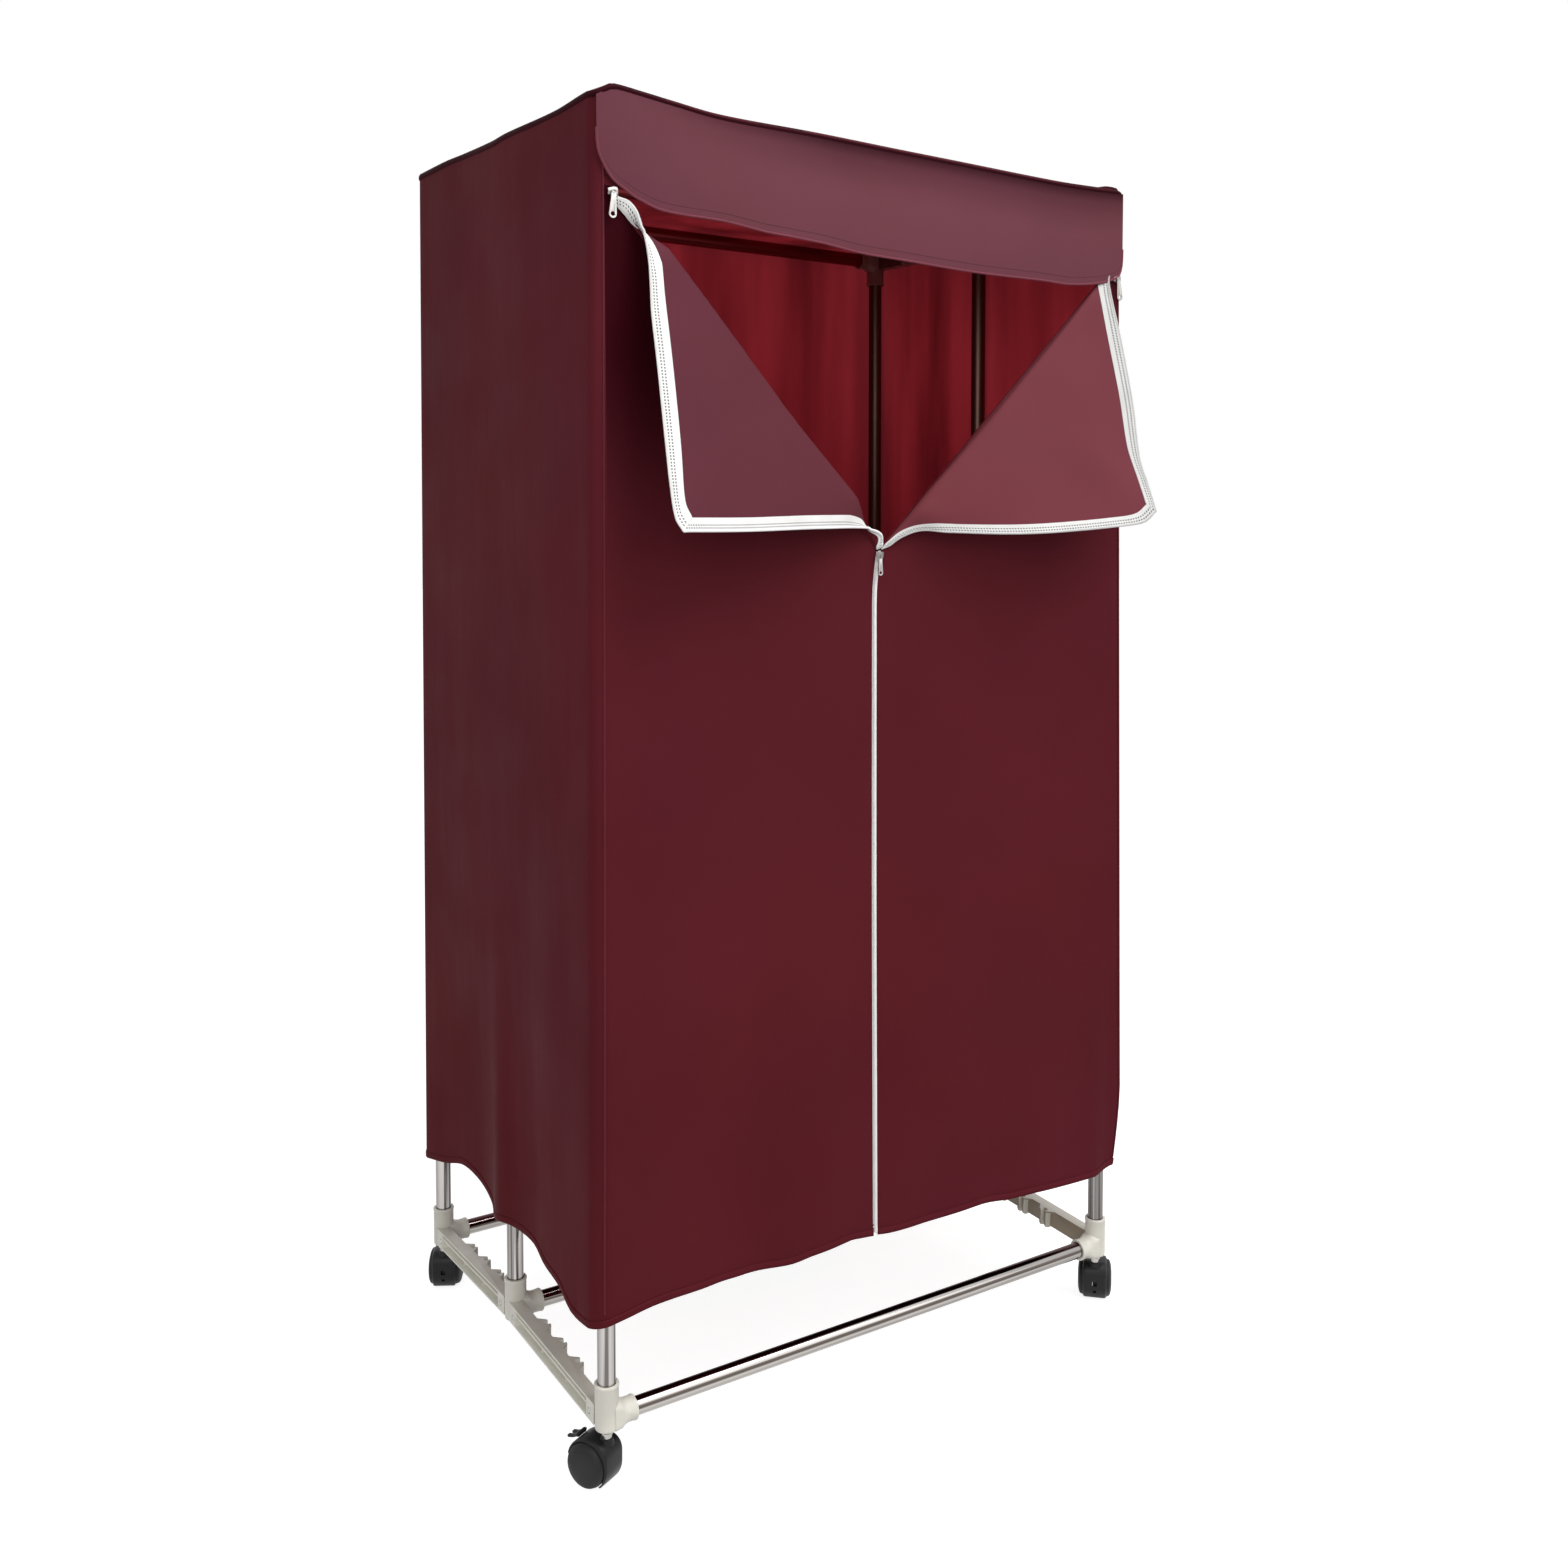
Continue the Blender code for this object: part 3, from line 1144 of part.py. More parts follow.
    knob = turned_solid([
        (0, KNOB_DEPTH), (KNOB_RADIUS * KNOB_CROWN_SHARE, KNOB_DEPTH),
        (KNOB_RADIUS, KNOB_DEPTH * KNOB_SHOULDER_SHARE),
        (KNOB_RADIUS, FIT_GAP), (KNOB_SHAFT_RADIUS, FIT_GAP), (KNOB_SHAFT_RADIUS, -KNOB_SHAFT_LENGTH),
        (0, -KNOB_SHAFT_LENGTH)], KNOB_SIDES)
    tail, nose = KNOB_RIDGE_SHARES
    ridge_low, ridge_high = KNOB_RIDGE_RISE_SHARES
    ridge = box((-KNOB_RIDGE / 2, -KNOB_RADIUS * tail, KNOB_DEPTH * ridge_low),
                (KNOB_RIDGE / 2, KNOB_RADIUS * nose, KNOB_DEPTH * ridge_high))
    knob = placed(carved(knob, joins=[ridge]), turn(pi / 2, "X"))
    add_piece("heater_timer_knob", knob, "heater_dark", (KNOB_X, HEATER_FRONT, control_z))


build_connectors()
build_combs()
build_tubes()
build_casters()
build_cover()
build_front_opening()
build_heater()
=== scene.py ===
"""Portable clothes dryer: the looks of its tube frame, casters, zipped cloth cover and heater.

Metres, +Z up, the front faces -Y. Places are written about the middle of the tube frame, and
a finished piece is moved by FRAME_Y into the place of the model.
"""
from math import atan2, cos, hypot, pi, radians, sin

import bmesh
import bpy
from mathutils import Matrix, Vector, noise


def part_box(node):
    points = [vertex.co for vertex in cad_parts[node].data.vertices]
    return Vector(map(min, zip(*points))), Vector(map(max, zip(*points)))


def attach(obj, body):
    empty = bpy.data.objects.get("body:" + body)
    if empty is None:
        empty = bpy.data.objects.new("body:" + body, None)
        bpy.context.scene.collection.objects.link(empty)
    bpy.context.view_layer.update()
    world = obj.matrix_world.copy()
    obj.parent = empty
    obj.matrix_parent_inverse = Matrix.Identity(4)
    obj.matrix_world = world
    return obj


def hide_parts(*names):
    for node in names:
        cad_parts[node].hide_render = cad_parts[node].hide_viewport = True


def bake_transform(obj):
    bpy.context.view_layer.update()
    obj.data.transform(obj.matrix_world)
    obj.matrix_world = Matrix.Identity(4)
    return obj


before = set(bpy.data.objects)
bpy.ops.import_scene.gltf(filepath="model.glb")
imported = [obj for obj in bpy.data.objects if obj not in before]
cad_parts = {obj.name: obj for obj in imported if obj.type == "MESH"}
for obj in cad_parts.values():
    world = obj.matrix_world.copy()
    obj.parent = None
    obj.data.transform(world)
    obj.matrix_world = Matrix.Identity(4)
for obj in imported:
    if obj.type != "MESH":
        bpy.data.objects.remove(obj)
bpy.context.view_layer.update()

SIDES = {"left": -1, "right": 1}
ENDS = {"front": -1, "rear": 1}

# Frame
POST_X = 0.345
POST_Y = 0.240
CASTER_HEIGHT = 0.060
FRAME_TOP = 1.4045
TUBE_RADIUS = 0.0095
TUBE_BORE = 0.0087
TUBE_SEAT = 0.015
TUBE_SIDES = 40
SWAGE = 0.0012
CONNECTOR_RADIUS = 0.0125
CONNECTOR_HEIGHT = 0.048
ARM_RADIUS = 0.0123
ARM_LENGTH = 0.031
RIM_STAND = 0.0005
RIM_HEIGHT = 0.0024
CONNECTOR_SIDES = 40
TEE_RISE = 0.009
FLARE = 0.0048
FLARE_FOOT = 0.0112
FLARE_END = 0.0225
FRAME_Y = sum(corner.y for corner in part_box("post_front_left")) / 2 + POST_Y
HOME = Matrix.Translation((0, FRAME_Y, 0))

# Comb rails
COMB_OUTER = 0.0115
LUG_MIDDLE = 0.01965
SCREW_Z = 0.0115
SCREW_HEAD = 0.0034

# Casters
WHEEL_RADIUS = 0.023
WHEEL_TRAIL = 0.016
AXLE_Z = 0.02265
HOOD_RADIUS = 0.0258
HOOD_HALF = 0.0148
HOOD_ROUND = 0.0030
CASTER_HEADINGS = {
    "front_left": radians(116),
    "front_right": radians(45),
    "rear_left": radians(60),
    "rear_right": radians(105),
}
BRAKED_CASTERS = ("front_left", "rear_right")

# Cloth cover
CLOTH = 0.0010
HEM_Z = 0.176
ROOF_Z = 1.406
WALL_TOP_X = 0.3597
WALL_TOP_Y = 0.2547
WALL_FLARE = 0.006
CORNER_TOP = 0.012
ROOF_OVER_POST = 0.0013
ROOF_SAG = 0.009
ROOF_DIP = 0.003
ROOF_RIPPLE = 0.0018
ROOF_FRONT_ROLL = 0.0032
PANEL_TUCK = 0.0045
VALANCE_TUCK = 0.0050
HEADER_TUCK = 0.0060
CORNER_HEM = 0.020
FOLD_X = 0.339
FOLD_TOP = 1.306
FOLD_LOW = 0.9616
ZIP_TOP = 0.9586
ZIP_HALF = 0.0030
FOLDS_HEIGHT = 0.46
HEM_WIDTH = 0.0085
HEM_STAND = 0.0009
CORNER_PULL = 0.0145
CORNER_PULL_HEIGHT = 0.10
CORNER_LEAN = 0.0085
CORNER_LIFT = 0.008
CORNER_LIFT_SHARE = 0.09
GATHER_SHARE = 0.945
GATHER_HEIGHT = 0.14
GATHER_DEPTH = 0.0020
SIDE_BEND = 0.12
FRONT_STRIP = 0.978
STRIP_TOP = 1.345
HEADER_FOOT = 1.318
TOP_ZIP_START = -0.304
TOP_ZIP_LENGTH = 0.631
TOP_TEETH_Z = 1.3085
BACK_WAVE = 0.007
BACK_FOLDS = 0.004
HEM_HALF = 0.366
ZIP_FOOT = 0.1775
HEM_ROWS = [0.0, 0.0009, 0.0035, 0.0065, 0.0078, 0.0085, 0.0098, 0.0125]
PANEL_ROWS = HEM_ROWS + [HEM_ROWS[-1] + (1 - HEM_ROWS[-1]) * (i / 40) ** 1.15
                         for i in range(1, 41)]

# Where the hem hangs, from the photograph: side (y, z) and its pull inward (y, d), front (x, y)
SIDE_HEM_Z = [(-.24, .1715), (-.204, .168), (-.167, .182), (-.12, .186), (-.08, .192),
              (-.02, .191), (0, .188), (.015, .185), (.045, .189), (.09, .197), (.14, .201),
              (.19, .187), (.245, .176)]
FRONT_HEM_Z = [(-.366, .1785), (-.31, .183), (-.233, .182), (-.194, .178), (-.137, .1775),
               (-.10, .182), (-.042, .181), (-.02, .177), (.012, .1725), (.04, .174),
               (.06, .1765), (.10, .1795), (.148, .181), (.19, .178), (.23, .1795),
               (.34, .177), (.366, .1735)]
SIDE_HEM_IN = [(-.245, 0), (-.204, -.001), (-.167, .001), (-.12, .004), (-.08, .009),
               (-.04, .0075), (-.02, .004), (0, 0), (.015, .002), (.045, .012), (.09, .0155),
               (.14, .011), (.19, .005), (.245, 0)]
FRONT_HEM_IN = [(-.350, .000), (-.300, .002), (-.242, .001), (-.170, .0085), (-.116, -.0075),
                (-.076, -.0105), (0, 0), (.055, -.0075), (.110, -.0115), (.165, -.007),
                (.220, -.012), (.270, -.012), (.320, -.008), (.350, -.002)]
ZIP_Y = [(.176, -.2385), (.186, -.238), (.336, -.2357), (.565, -.2326), (.85, -.231),
         (.916, -.2312), (.9616, -.2365)]
ZIP_X = [(.176, -.0034), (.60, -.0022), (.90, -.0018), (.935, -.0012), (.9616, .0003)]
ROOF_LEFT = [(-.2547, 1.407), (-.242, 1.4095), (-.168, 1.409), (-.036, 1.4165), (.005, 1.417),
             (.09, 1.422), (.152, 1.4265), (.2547, 1.4305)]
ROOF_FRONT = [(-.3597, 1.407), (-.345, 1.415), (-.338, 1.418), (-.303, 1.415), (-.275, 1.412),
              (-.216, 1.4065), (-.1, 1.406), (.015, 1.404), (.086, 1.403), (.250, 1.4005),
              (.310, 1.4016), (.345, 1.4030), (.3597, 1.4022)]
ROOF_RIGHT = [(-.2547, 1.4022), (0, 1.405), (.2547, 1.409)]
ROOF_REAR = [(-.3597, 1.4305), (-.2, 1.413), (.2, 1.407), (.3597, 1.409)]
ROOF_ROLL = [(-.0008, .0003), (.0005, .0010), (.0013, .0025), (.0015, .0042), (.0012, .0058),
             (.0004, .0068), (-.0008, .0064)]
VALANCE_EDGE = [(-.3568, 1.372), (-.3562, 1.356), (-.3504, 1.3395), (-.3409, 1.3247),
                (-.3285, 1.3162), (-.3142, 1.3083), (-.2857, 1.2995), (-.2157, 1.2973),
                (-.1883, 1.2946), (-.1639, 1.2918), (-.139, 1.2908), (-.1137, 1.2894),
                (-.088, 1.2878), (-.0618, 1.2846), (-.0351, 1.2826), (.0146, 1.2813),
                (.1168, 1.2782), (.2245, 1.2788), (.2648, 1.2785), (.3194, 1.286),
                (.3498, 1.2975), (.3562, 1.3128), (.3568, 1.330)]
VALANCE_Y = 0.2583
VALANCE_BELLY = 0.0050
VALANCE_HALF = 0.3568

# Free edges of the open lapels, from the photograph, and the tops of their folds
LAPEL_EDGES = {
    "left": (
        [(-.340, -.2565, 1.314), (-.3341, -.2574, 1.3079), (-.3231, -.2595, 1.3042),
         (-.316, -.2639, 1.2941), (-.3115, -.2695, 1.2735), (-.3103, -.2765, 1.2467),
         (-.3120, -.2835, 1.2195), (-.3145, -.2907, 1.1925), (-.3160, -.3048, 1.1423),
         (-.3205, -.3279, 1.0708), (-.3243, -.3465, 1.0183), (-.3245, -.3569, .9905),
         (-.3190, -.3613, .9790)],
        [(-.3190, -.3613, .9790), (-.235, -.335, .980), (-.119, -.292, .9838),
         (-.028, -.254, .9846), (-.001, -.243, .978), (.0037, -.2385, .9616)]),
    "right": (
        [(.339, -.2556, 1.306), (.330, -.262, 1.285), (.336, -.276, 1.217),
         (.336, -.297, 1.1365), (.327, -.318, 1.0695), (.327, -.333, 1.035),
         (.3250, -.347, 1.006)],
        [(.3250, -.347, 1.006), (.3096, -.345, .9939), (.280, -.337, .9885),
         (.197, -.316, .981), (.141, -.297, .979), (.075, -.268, .981), (.049, -.254, .983),
         (.025, -.246, .975), (.011, -.2385, .964)]),
}
LAPEL_FOLDS = {
    "left": [(-.305, -.262, 1.283), (-.286, -.262, 1.2687), (-.2035, -.259, 1.183),
             (-.1254, -.255, 1.1007), (-.084, -.253, 1.0607), (-.0397, -.249, 1.0196),
             (-.0191, -.246, 1.0012)],
    "right": [(.3112, -.2595, 1.2800), (.2598, -.2595, 1.2262), (.2033, -.2585, 1.1690),
              (.1429, -.256, 1.1075), (.083, -.253, 1.049), (.0602, -.251, 1.0265),
              (.0292, -.248, .994)],
}
# Tapes of the lapels: width, and how it changes down the free side and along the foot
TAPES = {
    "left": (.0130, [(0, .45), (.04, .9), (.08, 1.6), (.13, 1.6), (.32, 1.60), (.75, 1.55),
                     (.93, 1.15), (1, 1)], [(0, 1), (.85, 1), (.925, .35), (1, .16)]),
    "right": (.0100, [(0, 1.5), (.08, 2.0), (.3, 1.85), (.6, 1.5), (.85, 1.25), (1, 1)],
              [(0, 1), (.7, 1.0), (.92, 1.1), (.975, .5), (1, .22)]),
}
TAPE_STAND = 0.0007
TEETH_PITCH = 0.0014
TEETH_RADIUS = 0.0011
TAPE_LAP = 0.71
SLIDER_STAND = 0.0022
EYE_REACH = 0.0042
# Parked sliders of the top zips: place, and how far the pull hangs out of plumb in degrees
TOP_SLIDERS = {"left": ((-0.3400, -0.2572, 1.3120), 4), "right": ((0.3470, -0.2572, 1.2930), -6)}

# Stage
FLOOR_GREY = 0.60
FLOOR_GLOW = 0.725
FLOOR_CAMERA_GLOW = 0.10
SKY_LEVEL = 0.47


# Shader nodes
class Nodes:
    """Adds nodes to a shader tree. A feed is a socket or a value; each call gives one output."""

    def __init__(self, tree):
        self.tree = tree

    def add(self, kind, settings=None, out=0, **feeds):
        made = self.tree.nodes.new("ShaderNode" + kind)
        for key, value in (settings or {}).items():
            setattr(made, key, value)
        for key, value in feeds.items():
            number = key[1:] if key[0] == "_" else ""
            socket = made.inputs[int(number) if number.isdigit() else key.replace("_", " ")]
            if isinstance(value, bpy.types.NodeSocket):
                self.tree.links.new(value, socket)
            else:
                socket.default_value = value
        return made.outputs[out]

    def put_out(self, kind, shader):
        self.tree.links.new(shader, self.tree.nodes.new("ShaderNode" + kind).inputs["Surface"])

    def math(self, operation, *values):
        return self.add("Math", {"operation": operation},
                        **{f"_{i}": value for i, value in enumerate(values)})

    def product(self, a, b):
        return self.math("MULTIPLY", a, b)

    def ranged(self, value, start=0.0, end=1.0, low=0.0, high=1.0, **settings):
        return self.add("MapRange", settings, Value=value, From_Min=start, From_Max=end,
                        To_Min=low, To_Max=high)

    def mixed(self, share, first, second, way="MIX"):
        """Two colours mixed, each a socket or three numbers."""
        first, second = ((*c, 1) if isinstance(c, tuple) else c for c in (first, second))
        return self.add("Mix", {"data_type": "RGBA", "blend_type": way}, 2, _0=share, _6=first,
                        _7=second)

    def times(self, colour, factor, share=1.0):
        """A colour times another, or times a factor that changes over the surface."""
        return self.mixed(share, colour, factor, "MULTIPLY")

    def axis(self, vector, name):
        return self.add("SeparateXYZ", out=name, Vector=vector)

    def noise(self, at, scale, detail=2, roughness=0.5):
        return self.add("TexNoise", out="Fac", Vector=at, Scale=scale, Detail=detail,
                        Roughness=roughness)

    def bump(self, strength, distance, height, below=None, invert=False):
        feeds = {} if below is None else {"Normal": below}
        return self.add("Bump", {"invert": invert}, Strength=strength, Distance=distance,
                        Height=height, **feeds)

    def patches(self, at, scale, low, high):
        return self.add("Group", {"node_tree": UNEVEN}, Vector=at, Scale=scale, Low=low,
                        High=high)

    def weave(self, over, pitch):
        return self.add("Group", {"node_tree": WEAVE}, Vector=over, Pitch=pitch)

    def stitches(self, over, offset, pitch, width, share=0.65):
        return self.add("Group", {"node_tree": STITCH}, Vector=over, Offset=offset, Pitch=pitch,
                        Width=width, Share=share)


def group(name, inputs, output):
    """A new node group: its nodes, its input sockets by name, and the socket it puts out."""
    tree = bpy.data.node_groups.new(name, "ShaderNodeTree")
    for title, value in inputs.items():
        kind = "NodeSocketVector" if value is None else "NodeSocketFloat"
        socket = tree.interface.new_socket(title, in_out="INPUT", socket_type=kind)
        if value is not None:
            socket.default_value = value
    tree.interface.new_socket(output, in_out="OUTPUT", socket_type="NodeSocketFloat")
    given = tree.nodes.new("NodeGroupInput").outputs
    return Nodes(tree), given, tree.nodes.new("NodeGroupOutput").inputs[0]


def uneven_group():
    """Soft uneven patches between a low and a high value."""
    nodes, given, out = group("uneven_patches", {"Vector": None, "Scale": 5, "Low": 0, "High": 1},
                              "Value")
    cloud = nodes.noise(given["Vector"], given["Scale"], 4)
    nodes.tree.links.new(nodes.ranged(cloud, 0.3, 0.7, given["Low"], given["High"]), out)
    return nodes.tree


def weave_group():
    """Plain weave of threads crossing at a pitch, over a map in metres."""
    nodes, given, out = group("plain_weave", {"Vector": None, "Pitch": 0.0006}, "Height")
    turns = nodes.math("DIVIDE", 2 * pi, given["Pitch"])
    waves = [nodes.math("SINE", nodes.product(nodes.axis(given["Vector"], axis), turns))
             for axis in "XY"]
    nodes.tree.links.new(nodes.product(*waves), out)
    return nodes.tree


def stitch_group():
    """A row of stitches beside an edge: 1 on the thread, 0 elsewhere."""
    nodes, given, out = group("stitch_row", {"Vector": None, "Offset": 0.008, "Pitch": 0.003,
                                             "Width": 0.0005, "Share": 0.65}, "Mask")
    away = nodes.math("SUBTRACT", nodes.axis(given["Vector"], "Y"), given["Offset"])
    on_row = nodes.math("LESS_THAN", nodes.math("ABSOLUTE", away), given["Width"])
    count = nodes.math("DIVIDE", nodes.axis(given["Vector"], "X"), given["Pitch"])
    on_stitch = nodes.math("LESS_THAN", nodes.math("FRACT", count), given["Share"])
    nodes.tree.links.new(nodes.product(on_row, on_stitch), out)
    return nodes.tree


UNEVEN = uneven_group()
WEAVE = weave_group()
STITCH = stitch_group()


# Finishes
class Finish(Nodes):
    """A material and its nodes; place is the position in the object's own space."""

    def __init__(self, name, roughness, metallic=0.0, specular=0.5):
        self.material = bpy.data.materials.new(name)
        self.material.use_nodes = True
        super().__init__(self.material.node_tree)
        self.sockets = self.tree.nodes["Principled BSDF"].inputs
        for key, value in {"Roughness": roughness, "Metallic": metallic,
                           "Specular IOR Level": specular}.items():
            self.sockets[key].default_value = value
        self.place = self.add("TexCoord", out="Object")

    def fed(self, **sources):
        for key, source in sources.items():
            self.tree.links.new(source, self.sockets[key.replace("_", " ")])
        return self.material

    def mapping(self, scale):
        return self.add("Mapping", Vector=self.place, Scale=scale)


def cloth_finish(name, colour, roughness, specular, stitched=True, glow=None, painted_shades=()):
    """Coated nylon: a fine weave, faint crinkles, uneven sheen and the hem's stitching.

    glow is a painted glow: an emission on the inner face that stands in for the light coming
    through the thin cloth and fades out lower down. Each of the shades is painted shade, as (way,
    start, end, colour factors) along the map's Y, where YX also grows along X, or the height Z."""
    made = Finish(name, roughness, specular=specular)
    over = made.add("UVMap", {"uv_map": "cloth"}, "UV")
    tone = made.patches(made.place, 3.5, 0.90, 1.08)
    creases = made.noise(made.mapping((9, 9, 2.2)), 1.0, 3, 0.55)
    normal = made.bump(0.45, 0.006, creases)
    normal = made.bump(0.10, 0.0010, made.noise(made.place, 70, 3), normal)
    normal = made.bump(0.12, 0.00015, made.weave(over, 0.0008), normal)
    if stitched:
        thread = made.stitches(over, HEM_WIDTH, 0.0032, 0.0005)
        normal = made.bump(0.5, 0.0004, thread, normal)
        tone = made.product(tone, made.ranged(thread, low=1.0, high=0.55))
    # Painted shade of upright folds: tall patches darken and lighten the inner face's colour.
    if glow:
        hung = made.mapping((7, 7, 0.8))
        tone = made.product(tone, made.patches(hung, 1.6, 0.50, 1.25))
    red, green, blue = colour
    hue = made.mixed(made.patches(made.place, 2.6, 0.0, 0.8), colour,
                     (red * 0.93, green * 0.98, blue * 1.2))
    tinted = made.times(hue, tone)
    # Painted shade: each entry darkens the colour smoothly over its span.
    for way, start, end, tint in painted_shades:
        along = made.axis(made.place if way == "Z" else over, way[0])
        strength = made.ranged(along, start, end, interpolation_type="SMOOTHSTEP")
        if way == "YX":
            strength = made.product(strength, made.ranged(made.axis(over, "X"), 0.06, 0.30))
        tinted = made.times(tinted, tint, strength)
    # Painted glow: an emission on the inner face stands in for light through the cloth, full above
    # 1.22 m and gone below 0.72 m.
    if glow:
        high = made.ranged(made.axis(made.place, "Z"), 0.72, 1.22)
        lit = made.product(made.patches(hung, 1.6, 0.20, 1.30), high)
        made.fed(Emission_Color=made.times(glow, lit))
        made.sockets["Emission Strength"].default_value = 1.0
    gloss = made.patches(made.place, 9, roughness - 0.06, roughness + 0.06)
    return made.fed(Base_Color=tinted, Roughness=gloss, Normal=normal)


def tape_finish(name, colour, rows=(0.0046, 0.0088), shade=None):
    """White woven zip tape with two rows of stitch holes.

    shade is painted shade, as (start, end, grey): how much darker the tape is before it turns the
    corner."""
    made = Finish(name, 0.62, specular=0.35)
    over = made.add("UVMap", {"uv_map": "cloth"}, "UV")
    holes = made.math("MAXIMUM", *(made.stitches(over, row, 0.0034, 0.0009, 0.5) for row in rows))
    tone = made.product(made.patches(made.place, 30, 0.93, 1.02),
                        made.ranged(holes, low=1.0, high=0.10))
    # Painted shade on the tape before its corner.
    if shade:
        start, end, grey = shade
        tone = made.product(tone, made.ranged(made.axis(over, "X"), start, end, grey, 1.0))
    rough = made.bump(0.5, 0.0002, made.weave(over, 0.0011))
    return made.fed(Base_Color=made.times(colour, tone),
                    Normal=made.bump(0.8, 0.0004, holes, rough, invert=True))


def moulded_finish(name, colour, roughness, grain, tone=0.06, specular=0.5, under_cover=False,
                   inner=None):
    """Moulded plastic: a fine grain, and dust and handling that change its gloss.

    under_cover paints shade with a red cast on the parts at the top of the frame, shut in by the
    maroon cloth, and inner is the painted shade of the faces that look inwards."""
    made = Finish(name, roughness, specular=specular)
    place = made.place
    coloured = made.times(colour, made.patches(place, 28, 1 - tone, 1 + tone / 2))
    # Painted shade with a red cast above 1 m, where the cloth shuts the parts in.
    if under_cover:
        inside = made.ranged(made.axis(place, "Z"), 1.0, 1.2)
        coloured = made.times(coloured, (0.34, 0.22, 0.22), inside)
    # Painted shade on the faces that look inwards.
    if inner:
        looks = made.axis(made.add("TexCoord", out="Normal"), "X")
        inwards = made.product(made.math("SIGN", made.axis(place, "X")), looks)
        coloured = made.times(coloured, inner, made.ranged(inwards, -0.2, -0.8))
    return made.fed(Base_Color=coloured,
                    Roughness=made.patches(place, 45, roughness - 0.07, roughness + 0.08),
                    Normal=made.bump(0.16, 0.0003, made.noise(place, grain)))


def metal_finish(name, colour, low, high, drawn=(1, 1, 1), bump=0.05, streaks=0.0,
                 under_cover=None, bands=(), rim=0.0):
    """Bright metal with a faint grain along its length and uneven polish.

    streaks darkens lines that run along the metal; under_cover is a painted shade and painted red
    reflection of the cover above the hem, and bands are a painted reflection, (share of the way
    round, grey) of what a level tube reflects. rim paints shade on its sides as they turn away, and
    on the posts on the right."""
    made = Finish(name, low, metallic=1.0)
    place, along = made.place, made.mapping(drawn)
    polish = made.patches(along, 22, low, high)
    tone = made.patches(place, 14, 0.94, 1.02)
    if streaks:
        lines = made.ranged(made.noise(along, 210), 0.38, 0.52, 1 - streaks, 1.0)
        tone = made.product(tone, lines)
    # Painted shade: the sides darker as they turn away from the camera, and the posts on the right
    # darker.
    if rim:
        facing = made.add("LayerWeight", out="Facing", Blend=0.5)
        side = made.ranged(facing, 0.15, 0.55, 1.0, 1 - rim)
        right = made.ranged(made.axis(place, "X"), -0.2, 0.3, 1.0, 0.55)
        tone = made.product(tone, made.product(side, right))
    coloured = made.times(colour, tone)
    # Painted reflection: fixed grey bands round the tube.
    if bands:
        ramp = made.add("ValToRGB", _0=made.axis(made.add("UVMap", {"uv_map": "round"}, "UV"), "X"))
        stops = ramp.node.color_ramp.elements
        while len(stops) < len(bands):
            stops.new(0.5)
        for stop, (at, shade) in zip(stops, bands):
            stop.position = at
            stop.color = (*shade, 1)
        coloured = made.times(coloured, ramp)
    # Painted shade and painted reflection of the maroon cover above the hem.
    if under_cover:
        inside = made.ranged(made.axis(place, "Z"), HEM_Z + 0.02, HEM_Z + 0.16)
        polish = made.math("ADD", polish, made.ranged(inside, low=0.0, high=0.30))
        coloured = made.mixed(inside, coloured, under_cover)
    return made.fed(Base_Color=coloured, Roughness=polish,
                    Normal=made.bump(bump, 0.0002, made.noise(along, 260)))


# Painted reflection round a level tube: grey at each share of the way round, dark red where it
# would mirror the cover.
TUBE_REFLECTION_BANDS = [(0.0, (.70, .69, .68)), (.30, (.75, .73, .71)), (.38, (.95, .94, .93)),
              (.411, (.67, .66, .64)), (.450, (.57, .56, .54)), (.482, (.70, .68, .66)),
              (.504, (.81, .79, .77)), (.520, (.37, .34, .32)), (.536, (.12, .10, .09)),
              (.553, (.25, .22, .205)), (.572, (.28, .25, .235)), (.588, (.48, .44, .42)),
              (.604, (.72, .69, .68)), (.621, (.95, .93, .92)), (.646, (1, 1, 1)),
              (.668, (.10, .040, .044)), (.840, (.10, .040, .044)), (.870, (.60, .59, .58)),
              (1.0, (.70, .69, .68))]
MAROON_CLOTH = cloth_finish("maroon_cloth", (0.101, 0.0135, 0.0180), 0.52, 0.012)
# The lapels' cloth: lighter than the walls as a painted sheen; the left copy is darker, as painted
# shade.
LAPEL_SHEEN_CLOTHS = {
    "left": cloth_finish("maroon_lapel_left_painted_sheen_and_shade", (0.108, 0.0265, 0.035), 0.55, 0.03),
    "right": cloth_finish("maroon_lapel_right_painted_sheen", (0.156, 0.036, 0.043), 0.55, 0.03),
}
# The valance: lighter than the walls as a painted sheen, with painted shade darkening its top under
# the roof's edge, more to the right.
VALANCE_SHEEN_AND_SHADE_CLOTH = cloth_finish("maroon_valance", (0.140, 0.042, 0.051), 0.55, 0.03,
                             painted_shades=[("YX", 0.055, 0.125, (0.52, 0.44, 0.47)),
                                     ("YX", 0.100, 0.122, (0.34, 0.20, 0.24))])
VALANCE_LINING = cloth_finish("maroon_valance_lining", (0.15, 0.016, 0.022), 0.6, 0.03,
                              stitched=False)
# The valance's hem strand: lighter, as a painted highlight along the edge.
VALANCE_HEM_HIGHLIGHT = cloth_finish("maroon_valance_hem_painted_highlight", (0.190, 0.050, 0.062), 0.55, 0.03,
                           stitched=False)
# The left front: painted shade darkens it from 0.95 m up, under the open lapel.
FRONT_CLOTHS = {
    "left": cloth_finish("maroon_front_left_painted_shade", (0.101, 0.0135, 0.0180), 0.52, 0.012,
                         painted_shades=[("Z", 0.95, 1.18, (0.34, 0.19, 0.26))]),
    "right": MAROON_CLOTH,
}
